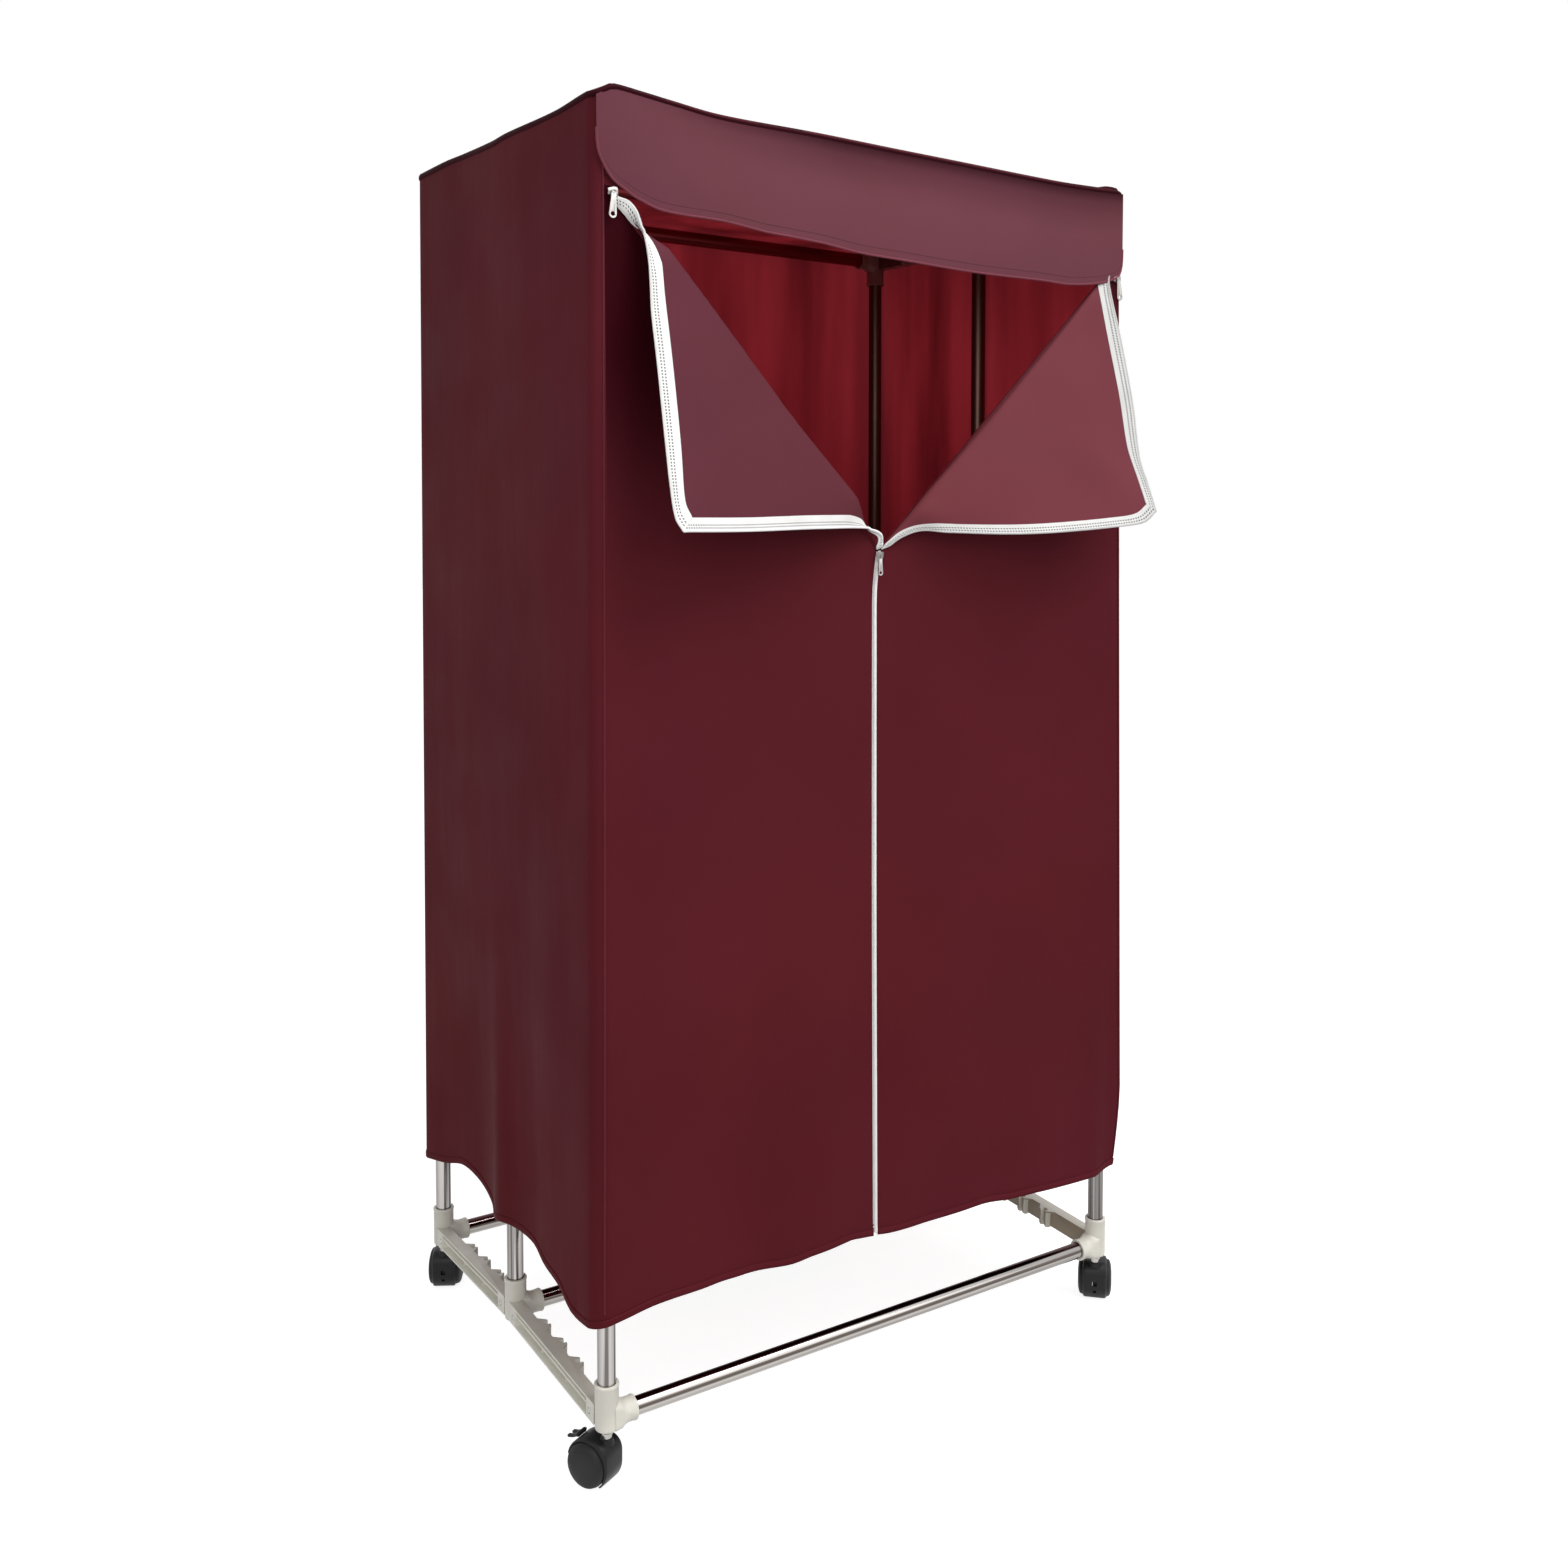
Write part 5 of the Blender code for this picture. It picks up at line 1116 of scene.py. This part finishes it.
# Lapels
def lapel_surface(side):
    """The open lapel over its flat shape: a along the fold, b away from it, in metres."""
    sx = SIDES[side]
    top = Vector((sx * FOLD_X, front_wall_y(sx * FOLD_X, FOLD_TOP), FOLD_TOP))
    low = Vector((sx * ZIP_HALF, follow(ZIP_Y, FOLD_LOW) - CLOTH, FOLD_LOW))
    length = (low - top).length
    along = (low - top) / length
    down, across = (by_length(line) for line in LAPEL_EDGES[side])
    corner = down[-1][1]
    foot = (corner - top).dot(along)
    reach = ((corner - top) - along * foot).length
    rolls = [(0.0, Vector((0, 0, 0)))]
    for p in LAPEL_FOLDS[side]:
        run = (Vector(p) - top).dot(along)
        rolls.append((run, Vector(p) - (top + along * run)))
    rolls.append((length, Vector((0, -0.001, 0.002))))
    out = Vector((0, -1, 0))
    kept = {}

    def height(a):
        return reach * (a / foot if a < foot else (length - a) / (length - foot))

    def column(a):
        if a in kept:
            return kept[a]
        base = top + along * a
        end = follow(down, a / foot) if a < foot else follow(across, (a - foot) / (length - foot))
        room = (end - base).length
        crown = follow(rolls, a) * min(1.0, room / 0.05)
        crest = base + crown
        bend = (0.004 + 0.004 * a / length) * min(1.0, room / 0.05)
        points = []
        legs = [(base, crown * 1.1, crest, out * bend * 2, 6),
                (crest, out * bend * 5, end, (end - crest) * 0.95, 26)]
        for p0, m0, p1, m1, steps in legs:
            for i in range(steps + 1):
                points.append(hermite(p0, m0, p1, m1, i / steps))
        run = runs(points, 1e-9)
        kept[a] = [(r / run[-1], p) for r, p in zip(run, points)]
        return kept[a]

    def surface(a, b):
        a = max(1e-4, min(length - 1e-4, a))
        share = clamp(b / max(height(a), 1e-6))
        table = column(a)
        for (r0, p0), (r1, p1) in zip(table, table[1:]):
            if share <= r1:
                return p0.lerp(p1, (share - r0) / (r1 - r0))
        return table[-1][1]

    return surface, height, length, foot, reach


def tape_paths(foot, reach, length, width, spreads, count):
    """Matching points on the outer edge of a lapel and a width in from it, in flat metres."""
    legs = [(Vector((0, 0)), Vector((foot, reach))), (Vector((foot, reach)), Vector((length, 0)))]
    inward = [Vector((way.y, -way.x)) for way in ((b - a).normalized() for a, b in legs)]
    mitre = (inward[0] + inward[1]) / (1 + inward[0].dot(inward[1]))
    outer, inner = [], []
    for leg, (a, b) in enumerate(legs):
        for i in range(leg, count + 1):
            t = i / count
            from_corner = (1 - t if leg == 0 else t) * (b - a).length
            lean = max(0.0, 1 - from_corner / width) if width else 0
            step = inward[leg].lerp(mitre, lean) * follow(spreads[leg], t)
            at = a.lerp(b, t)
            outer.append(at)
            inner.append(at + step * width)
    return outer, inner


def build_lapels():
    for side, sx in SIDES.items():
        surface, height, length, foot, reach = lapel_surface(side)
        width, down, across_foot = TAPES[side]

        def cloth(u, v):
            a = 0.003 + (length - 0.006) * u
            share = (follow(down, a / foot) if a < foot
                     else follow(across_foot, (a - foot) / (length - foot)))
            return surface(a, max(0.0, height(a) - TAPE_LAP * width * share) * v)

        across = close_ends(56)
        up = stations((0, 0.15, 9), (0.15, 1, 22))
        over = sx < 0
        mesh = grid_mesh(f"lapel_{side}", cloth, across, up, turned_over=over)
        # The lapel's cloth carries a painted sheen, and painted shade on the left.
        lapel = piece(f"front_lapel_{side}_cloth", walled(mesh), [LAPEL_SHEEN_CLOTHS[side], MAROON_CLOTH],
                      body=None, nodes=[f"front_lapel_{side}"])
        rails = [tape_paths(foot, reach, length, width * w, (down, across_foot), 90)[bool(w)]
                 for w in (0.0, 0.12, 0.3, 0.5, 0.75, 1.0)]
        last = len(rails[0]) - 1

        def lifted(flat):
            at = surface(flat.x, flat.y)
            ahead = surface(flat.x + 0.004, flat.y) - at
            up_cloth = surface(flat.x, flat.y + 0.004) - surface(flat.x, flat.y - 0.004)
            normal = ahead.cross(up_cloth)
            if normal.length < 1e-12:
                return at + Vector((0, -TAPE_STAND, 0))
            normal.normalize()
            if normal.y > 0:
                normal = -normal
            return at + normal * TAPE_STAND

        def tape(u, v):
            rail = rails[round(v * (len(rails) - 1))]
            return lifted(rail[round(u * last)])

        mesh = grid_mesh(f"tape_{side}", tape, stations((0, 1, last)),
                         stations((0, 1, len(rails) - 1)), turned_over=not over)
        strip = piece(f"lapel_{side}_tape", walled(mesh, 0.0014),
                      [LAPEL_TAPES[side], LAPEL_TAPES[side]], body=None)
        edge = [lifted(p) for p in rails[0]]
        table = by_length(edge)
        beads = int(runs(edge)[-1] / TEETH_PITCH) * 2
        line = [follow(table, i / beads) for i in range(beads + 1)]
        teeth = piece(f"lapel_{side}_teeth",
                      strand(line, TEETH_RADIUS, 5, pulse=lambda i: 1.3 - 0.55 * (i % 2)),
                      [LAPEL_TEETH[side]], body=None, crease=60)
        for made in (lapel, strip, teeth):
            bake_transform(made)


# Zips
def build_zip():
    """The closed zip down the middle: two tapes and the chain of teeth between them."""
    def tape(u, v):
        z = ZIP_FOOT + (ZIP_TOP - ZIP_FOOT) * v
        x = 0.0031 * (2 * u - 1) + follow(ZIP_X, z)
        return (x, follow(ZIP_Y, z) - CLOTH - 0.0004, z)

    mesh = walled(grid_mesh("zip", tape, stations((0, 1, 4)), stations((0, 1, 60))), 0.0008)
    strip = piece("front_zip_tape", mesh, [ZIP_TAPE, ZIP_TAPE],
                  nodes=["zip_chain"])
    count = int(0.77 / TEETH_PITCH) * 2
    line = []
    for i in range(count + 1):
        z = ZIP_FOOT + (ZIP_TOP - ZIP_FOOT) * i / count
        line.append((follow(ZIP_X, z) + 0.0004 * (1 if i % 2 else -1),
                     follow(ZIP_Y, z) - CLOTH - 0.0012, z))
    mesh = strand(line, 0.0021, 6, pulse=lambda i: 1.12 - 0.24 * (i % 2))
    piece("front_zip_chain", mesh, [ZIP_TEETH], crease=70)


def slider_parts(long_pull):
    """A zip slider facing -Y with its eye, and its pull hanging from the origin."""
    body = bmesh.new()
    bmesh.ops.create_grid(body, x_segments=6, y_segments=6, size=0.5)
    for vert in body.verts:
        share = vert.co.y + 0.5
        wide = 0.0030 + 0.0028 * min(1, share * 1.6)
        vert.co = Vector((vert.co.x * 2 * wide * 0.9, -0.0011 - 0.0012 * (1 - (2 * vert.co.x) ** 2),
                          -0.0055 + 0.011 * share))
    shell = finished_mesh(as_mesh("slider", body), [
        ("SOLIDIFY", {"thickness": 0.0014, "offset": 0}),
        ("BEVEL", {"width": 0.0004, "segments": 2}),
        ("SUBSURF", {"levels": 1, "render_levels": 1})])
    eye = strand([(0, -0.0020, -0.0020), (0, -0.0036, -0.0014), (0, -EYE_REACH, 0),
                  (0, -0.0036, 0.0014), (0, -0.0020, 0.0020)], 0.0008, 8)
    length = 0.026 if long_pull else 0.021
    hole = 0.0023 if long_pull else 0.0018
    tab = bmesh.new()
    bmesh.ops.create_circle(tab, segments=24, radius=hole)
    out = bmesh.ops.extrude_edge_only(tab, edges=list(tab.edges))
    verts = [v for v in out["geom"] if isinstance(v, bmesh.types.BMVert)]
    wide = 0.0037 if long_pull else 0.0028
    for vert in verts:
        away = vert.co.xy.normalized() * wide * 1.15
        vert.co.x, vert.co.y = away
        if vert.co.y > 0:
            vert.co.y = length - wide * 1.2
            vert.co.x = max(-1, min(1, vert.co.x / wide)) * wide * 0.62
    flat = finished_mesh(as_mesh("pull", tab), [
        ("SOLIDIFY", {"thickness": 0.0012, "offset": 0}),
        ("BEVEL", {"width": 0.0003, "segments": 2})])
    flat = placed(flat, shift(0, -EYE_REACH, -length + wide) @ turn(pi / 2, "X"))
    ring_top = strand([(0.0016 * cos(t), -0.0048, 0.0016 * sin(t) - 0.0006)
                       for t in [2 * pi * i / 16 for i in range(17)]], 0.0006, 6)
    return gathered([shell, eye]), gathered([flat, ring_top])


def build_corner_sliders():
    """The parked sliders of the two top zips, each with its long pull."""
    for side, (at, tilt) in TOP_SLIDERS.items():
        shell, pull = slider_parts(long_pull=True)
        piece(f"top_slider_{side}", placed(shell, shift(*at) @ turn(pi / 2, "Y")), [SLIDER_ZINC])
        piece(f"top_slider_pull_{side}", placed(pull, shift(*at) @ turn(radians(tilt), "Y")),
              [ZINC])


def build_front_slider():
    low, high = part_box("zip_slider")
    middle = (low + high) / 2
    place = shift(middle.x, high.y - SLIDER_STAND, middle.z)
    shell, pull = slider_parts(long_pull=False)
    piece("front_slider", placed(shell, place), [SLIDER_ZINC], body="zip_slider",
          nodes=["zip_slider"], home=False)
    low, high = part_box("zip_pull")
    place = shift((low.x + high.x) / 2, (low.y + high.y) / 2 + EYE_REACH, high.z - 0.0017)
    piece("front_slider_pull", placed(pull, place), [ZINC], body="zip_pull",
          nodes=["zip_pull"], home=False)


# Frame
def socket_profile(radius, end, foot):
    """A socket from its bore over its rounded rim and down its outside to foot."""
    bore, rim = TUBE_RADIUS + 0.0002, radius + RIM_STAND
    return ([(bore, end - TUBE_SEAT), (bore, end - 0.0004), (TUBE_RADIUS + 0.0006, end)]
            + smooth_corner(rim - 0.0008, end - 0.0008, 0.0008, 90, 0, 3)
            + [(rim, end - RIM_HEIGHT), (radius, end - RIM_HEIGHT - 0.0007), (radius, foot)])


def connector_mesh():
    """A moulded corner: a post socket with a tube arm along +X, both with thickened rims."""
    r, a = CONNECTOR_RADIUS, ARM_RADIUS
    post = turned(socket_profile(r, CONNECTOR_HEIGHT, 0.0030)
                  + smooth_corner(r - 0.0022, 0.0022, 0.0022, 0, -90, 4) + [(0, 0)],
                  CONNECTOR_SIDES)
    arm = turned(socket_profile(a, ARM_LENGTH, 0.004) + [(0, 0.004)], CONNECTOR_SIDES)
    along_x = shift(z=CONNECTOR_RADIUS) @ turn(pi / 2, "Y")
    flare = [(a + FLARE * (i / 8) ** 2.2, FLARE_END - (FLARE_END - FLARE_FOOT) * i / 8)
             for i in range(9)]
    fillet = turned([(0, FLARE_END)] + flare + [(0, FLARE_FOOT)], CONNECTOR_SIDES)
    fillet = placed(fillet, along_x)
    for vert in fillet.vertices:
        vert.co.z = max(vert.co.z, 0.0004)
        vert.co.y = max(-a, min(a, vert.co.y))
        if vert.co.x < FLARE_FOOT + 0.0001:
            vert.co.x = max(0.004, (r * r - vert.co.y ** 2) ** 0.5 - 0.0006)
    return gathered([post, placed(arm, along_x), fillet])


def build_connectors():
    shape = connector_mesh()
    for side, sx in SIDES.items():
        about = turn(0 if sx < 0 else pi, "Z")
        places = [(f"connector_{end}_{side}", f"corner_{end}_{side}", sy * POST_Y, 0)
                  for end, sy in ENDS.items()] + [(f"tee_{side}", f"tee_{side}", 0, TEE_RISE)]
        for name, stands_for, y, rise in places:
            low = shift(sx * POST_X, y, CASTER_HEIGHT + rise) @ about
            high = shift(sx * POST_X, y, FRAME_TOP - rise) @ flip(z=-1) @ about
            piece(f"lower_{name}", placed(shape, low), [IVORY],
                  nodes=[f"base_{stands_for}"])
            piece(f"upper_{name}", placed(shape, high), [IVORY],
                  nodes=[f"top_{stands_for}"])


def refined(node_name, name, finish, width, body="frame"):
    """A CAD node's mesh, merged and with its edges rounded, in place of the node."""
    work = bmesh.new()
    work.from_mesh(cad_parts[node_name].data)
    bmesh.ops.remove_doubles(work, verts=work.verts, dist=1e-6)
    bmesh.ops.dissolve_limit(work, angle_limit=radians(1.5), verts=work.verts, edges=work.edges)
    mesh = finished_mesh(as_mesh(name, work), [
        ("BEVEL", {"width": width, "segments": 2, "limit_method": "ANGLE",
                   "angle_limit": radians(35), "use_clamp_overlap": True,
                   "harden_normals": False})])
    return piece(name, mesh, [finish], body=body, nodes=[node_name], home=False)


def screw_head():
    """A pan-head screw with a recess, facing +Z from z = 0."""
    return turned([(0, 0.0009), (0.0013, 0.0009), (0.0015, 0.0013), (0.0022, 0.0013),
                   (0.0029, 0.0010), (SCREW_HEAD, 0.0004), (SCREW_HEAD, -0.0006), (0, -0.0006)],
                  20)


def build_combs():
    head = screw_head()
    for side, sx in SIDES.items():
        for end, sy in ENDS.items():
            for level in ("base", "top"):
                refined(f"{level}_comb_{end}_{side}", f"{level}_comb_rail_{end}_{side}",
                        COMB_IVORY, 0.00035)
                heads = []
                for run, rise in ((LUG_MIDDLE, 0.0), (POST_Y - LUG_MIDDLE, TEE_RISE)):
                    lift = TEE_RISE * run / POST_Y + SCREW_Z
                    z = CASTER_HEIGHT + lift if level == "base" else FRAME_TOP - lift
                    out = shift(sx * (POST_X + COMB_OUTER), sy * (POST_Y - run), z)
                    heads.append(placed(head, out @ turn(sx * pi / 2, "Y")))
                piece(f"{level}_comb_screws_{end}_{side}", gathered(heads), [SCREW_STEEL])


def tube_profile(length, joint=None):
    """Profile of a tube on z = 0 to length, with the swaged neck's step where it has a joint."""
    lip = 0.0004
    outer = [(TUBE_RADIUS - lip, length), (TUBE_RADIUS, length - lip)]
    if joint:
        outer += [(TUBE_RADIUS, joint + 0.0044), (TUBE_RADIUS - SWAGE * 0.55, joint + 0.0022),
                  (TUBE_RADIUS - SWAGE, joint + 0.0006), (TUBE_RADIUS - SWAGE, joint),
                  (TUBE_RADIUS - 0.0002, joint - 0.0001), (TUBE_RADIUS, joint - 0.0005)]
    outer += [(TUBE_RADIUS, lip), (TUBE_RADIUS - lip, 0)]
    return [(TUBE_BORE, length)] + outer + [(TUBE_BORE, 0)]


def mapped_round(mesh):
    """Maps a tube along X: X is the share of the way round, 0.5 at the front, Y its length."""
    work = bmesh.new()
    work.from_mesh(mesh)
    over = work.loops.layers.uv.new("round")
    for face in work.faces:
        middle = face.calc_center_median()
        share = atan2(middle.z, -middle.y) / (2 * pi) + 0.5
        for loop in face.loops:
            at = loop.vert.co
            own = atan2(at.z, -at.y) / (2 * pi) + 0.5
            own += round(share - own)
            loop[over].uv = (max(0.0, min(1.0, own)), at.x)
    return as_mesh("round", work)


def build_tubes():
    half = POST_X - ARM_LENGTH + TUBE_SEAT
    crossbar = mapped_round(placed(turned(tube_profile(2 * half), TUBE_SIDES),
                                   shift(-half) @ turn(pi / 2, "Y")))
    for row, (y, rise) in {"front": (-POST_Y, 0), "middle": (0, TEE_RISE),
                           "rear": (POST_Y, 0)}.items():
        low = CASTER_HEIGHT + CONNECTOR_RADIUS + rise
        high = FRAME_TOP - CONNECTOR_RADIUS - rise
        piece(f"lower_crossbar_{row}", placed(crossbar, shift(0, y, low)), [PLATED_CROSSBAR],
              nodes=[f"base_tube_{row}"])
        piece(f"upper_crossbar_{row}", placed(crossbar, shift(0, y, high)), [PLATED_CROSSBAR],
              nodes=[f"top_tube_{row}"])
        foot = CASTER_HEIGHT + rise + CONNECTOR_HEIGHT - TUBE_SEAT
        head = FRAME_TOP - rise - CONNECTOR_HEIGHT + TUBE_SEAT
        post = turned(tube_profile(head - foot, (head - foot) / 2), TUBE_SIDES)
        for side, sx in SIDES.items():
            piece(f"upright_{row}_{side}", placed(post, shift(sx * POST_X, y, foot)),
                  [PLATED_UPRIGHT], nodes=[f"post_{row}_{side}"])


# Casters
def wheel_mesh():
    """A twin wheel about Y: domed faces, a thin groove and rounded treads."""
    face = [(0.0, 0.0213), (0.0085, 0.0212), (0.0150, 0.0206), (0.0190, 0.0196),
            (0.0212, 0.0184), (0.0218, 0.0176), (0.0219, 0.0168), (0.0222, 0.0160),
            (0.0228, 0.0148), (0.0230, 0.0138), (0.0230, 0.0044), (0.0226, 0.0034),
            (0.0218, 0.0032), (0.0026, 0.0032)]
    profile = face + [(r, -z) for r, z in reversed(face)]
    return placed(turned(profile, 64), turn(pi / 2, "X"))


def hood_rounded(braked):
    """The hood's shell: its side outline pulled across, rounded, and cut for both wheels."""
    radius = HOOD_RADIUS
    brow = radius * 0.55
    outline = (smooth_corner(WHEEL_TRAIL, AXLE_Z, radius, 12, 90, 14)
               + smooth_corner(WHEEL_TRAIL - radius + brow, AXLE_Z + radius - brow, brow, 90,
                               180, 8)
               + smooth_corner(WHEEL_TRAIL, AXLE_Z, radius, 180, 230, 10))
    work = bmesh.new()
    rim = [work.verts.new((x, -HOOD_HALF, z)) for x, z in outline]
    grown = bmesh.ops.extrude_face_region(work, geom=[work.faces.new(rim)])
    moved = [v for v in grown["geom"] if isinstance(v, bmesh.types.BMVert)]
    bmesh.ops.translate(work, verts=moved, vec=(0, 2 * HOOD_HALF, 0))
    bmesh.ops.recalc_face_normals(work, faces=work.faces)
    long_edges = [e for e in work.edges if abs(e.verts[0].co.y - e.verts[1].co.y) < 1e-6]
    bmesh.ops.bevel(work, geom=long_edges, offset=HOOD_ROUND, offset_type="OFFSET", segments=4,
                    profile=0.5, affect="EDGES", material=-1, clamp_overlap=True)
    shell = as_mesh("hood", work)
    tools = []
    for way in (-1, 1):
        room = WHEEL_RADIUS + 0.0009
        disc = turned([(0, 0.030), (room, 0.030), (room, 0.0026), (0, 0.0026)], 48)
        tools.append(placed(disc, shift(WHEEL_TRAIL, 0, AXLE_Z) @ turn(way * pi / 2, "X")))
    if not braked:
        for angle, size in ((radians(176), 0.0058), (radians(200), 0.0038)):
            cube = bmesh.new()
            bmesh.ops.create_cube(cube, size=size)
            place = shift(WHEEL_TRAIL, 0, AXLE_Z) @ turn(-angle, "Y") @ shift(radius, 0, 0)
            tools.append(placed(as_mesh("hole", cube), place @ flip(x=1.6)))
    cutters = [linked("cutter", tool) for tool in tools]
    shell = finished_mesh(shell, [("BOOLEAN", {"operation": "DIFFERENCE", "object": cutter})
                                  for cutter in cutters])
    for cutter in cutters:
        bpy.data.objects.remove(cutter, do_unlink=True)
    return shell


def stem_mesh():
    """The plated stem: a collar with washers under the connector."""
    return turned([(0, 0.0610), (0.0050, 0.0610), (0.0050, 0.0598), (0.0066, 0.0594),
                   (0.0066, 0.0582), (0.0058, 0.0578), (0.0058, 0.0570), (0.0066, 0.0566),
                   (0.0066, 0.0552), (0.0052, 0.0548), (0.0052, 0.0470), (0, 0.0470)], 28)


def build_casters():
    for end, sy in ENDS.items():
        for side, sx in SIDES.items():
            corner = f"{end}_{side}"
            heading = turn(CASTER_HEADINGS[corner], "Z")
            foot = shift(sx * POST_X, sy * POST_Y, 0)
            braked = corner in BRAKED_CASTERS
            body = f"caster_{corner}"
            boss = turned([(0, 0.0505), (0.0058, 0.0505), (0.0066, 0.0498), (0.0068, 0.0480),
                           (0.0078, 0.0462), (0.0078, 0.0440), (0, 0.0440)], 28)
            piece(f"caster_{corner}_shell",
                  gathered([placed(hood_rounded(braked), foot @ heading), placed(boss, foot)]),
                  [BLACK], body=body, nodes=[f"caster_{corner}_hood"], crease=32)
            piece(f"caster_{corner}_stem", placed(stem_mesh(), foot), [ZINC], body=body)
            axle = heading @ shift(WHEEL_TRAIL, 0, AXLE_Z)
            piece(f"caster_{corner}_twin_wheels", placed(wheel_mesh(), foot @ axle), [TYRE],
                  body=f"wheels_{corner}", nodes=[f"caster_{corner}_wheels"],
                  crease=30)
            if braked:
                refined(f"caster_{corner}_brake", f"caster_{corner}_brake_pedal", BLACK,
                        0.0005, body=f"brake_{corner}")


# Heater
def build_heater():
    for part, finish, slot, width, body in (
            ("lower_housing", SHELL_GREY, "heater_shell", 0.0010, "frame"),
            ("upper_housing", SHELL_GREY, "heater_shell", 0.0008, "frame"),
            ("motor", MOTOR_STEEL, "motor_steel", 0.0006, "frame"),
            ("impeller", DARK_GREY, "heater_dark", 0.0003, "impeller"),
            ("element", FIN_METAL, "element_metal", 0.0002, "frame"),
            ("timer_knob", DARK_GREY, "heater_dark", 0.0006, "timer_knob")):
        refined(f"heater_{part}", f"heater_{part}_part", finish, width, body=body)


# Stage
def build_stage():
    work = bmesh.new()
    bmesh.ops.create_grid(work, x_segments=1, y_segments=1, size=30)
    floor = linked("floor", as_mesh("floor", work))
    paint = bpy.data.materials.new("floor_white")
    nodes = emptied(paint)
    camera, glossy = (nodes.add("LightPath", out=f"Is {ray} Ray") for ray in ("Camera", "Glossy"))
    level = nodes.product(nodes.math("MAXIMUM", camera, glossy), FLOOR_GLOW)
    level = nodes.math("MULTIPLY_ADD", camera, FLOOR_CAMERA_GLOW, level)
    matt = nodes.add("BsdfDiffuse", Color=(FLOOR_GREY, FLOOR_GREY, FLOOR_GREY, 1))
    glow = nodes.add("Emission", Color=(1, 1, 1, 1), Strength=level)
    nodes.put_out("OutputMaterial", nodes.add("AddShader", _0=matt, _1=glow))
    floor.data.materials.append(paint)

    world = bpy.data.worlds.new("studio")
    bpy.context.scene.world = world
    nodes = emptied(world)
    camera, through, glossy = (nodes.add("LightPath", out=f"Is {ray} Ray")
                               for ray in ("Camera", "Transmission", "Glossy"))
    direct = nodes.math("MAXIMUM", nodes.math("MAXIMUM", camera, through), glossy)
    level = nodes.ranged(direct, low=SKY_LEVEL, high=1.0)
    nodes.put_out("OutputWorld", nodes.add("Background", Color=(1, 1, 1, 1), Strength=level))


def emptied(owner):
    """The nodes of a material or world, with none in its tree yet."""
    owner.use_nodes = True
    owner.node_tree.nodes.clear()
    return Nodes(owner.node_tree)


def softbox(name, at, towards, size, power):
    light = bpy.data.lights.new(name, "AREA")
    light.shape = "RECTANGLE"
    light.size, light.size_y = size
    light.energy = power
    lamp = linked(name, light)
    lamp.location = at
    lamp.rotation_euler = (Vector(towards) - Vector(at)).to_track_quat("-Z", "Y").to_euler()


def build_camera():
    eye = bpy.data.cameras.new("camera")
    eye.lens = 33.94
    eye.sensor_width = 36
    eye.shift_y = -0.1082
    camera = linked("camera", eye)
    camera.location = (-0.9927, -1.5810 + FRAME_Y, 0.9666)
    camera.rotation_euler = (radians(87.299), 0, radians(-32.801))
    bpy.context.scene.camera = camera


build_camera()
build_stage()
softbox("overhead_softbox", (0.5, -1.3, 3.2), (0, 0, 0.9), (2.2, 2.2), 66)
softbox("left_fill", (-2.2, -2.2, 1.6), (0, 0, 0.7), (1.8, 1.8), 24)
softbox("right_fill", (1.4, -2.6, 1.9), (0, 0, 0.8), (1.6, 1.6), 12)
build_connectors()
build_combs()
build_tubes()
build_casters()
build_roof()
build_cover()
build_header()
build_valance()
build_lapels()
build_zip()
build_corner_sliders()
build_front_slider()
build_heater()

bpy.context.scene.view_settings.view_transform = "Standard"
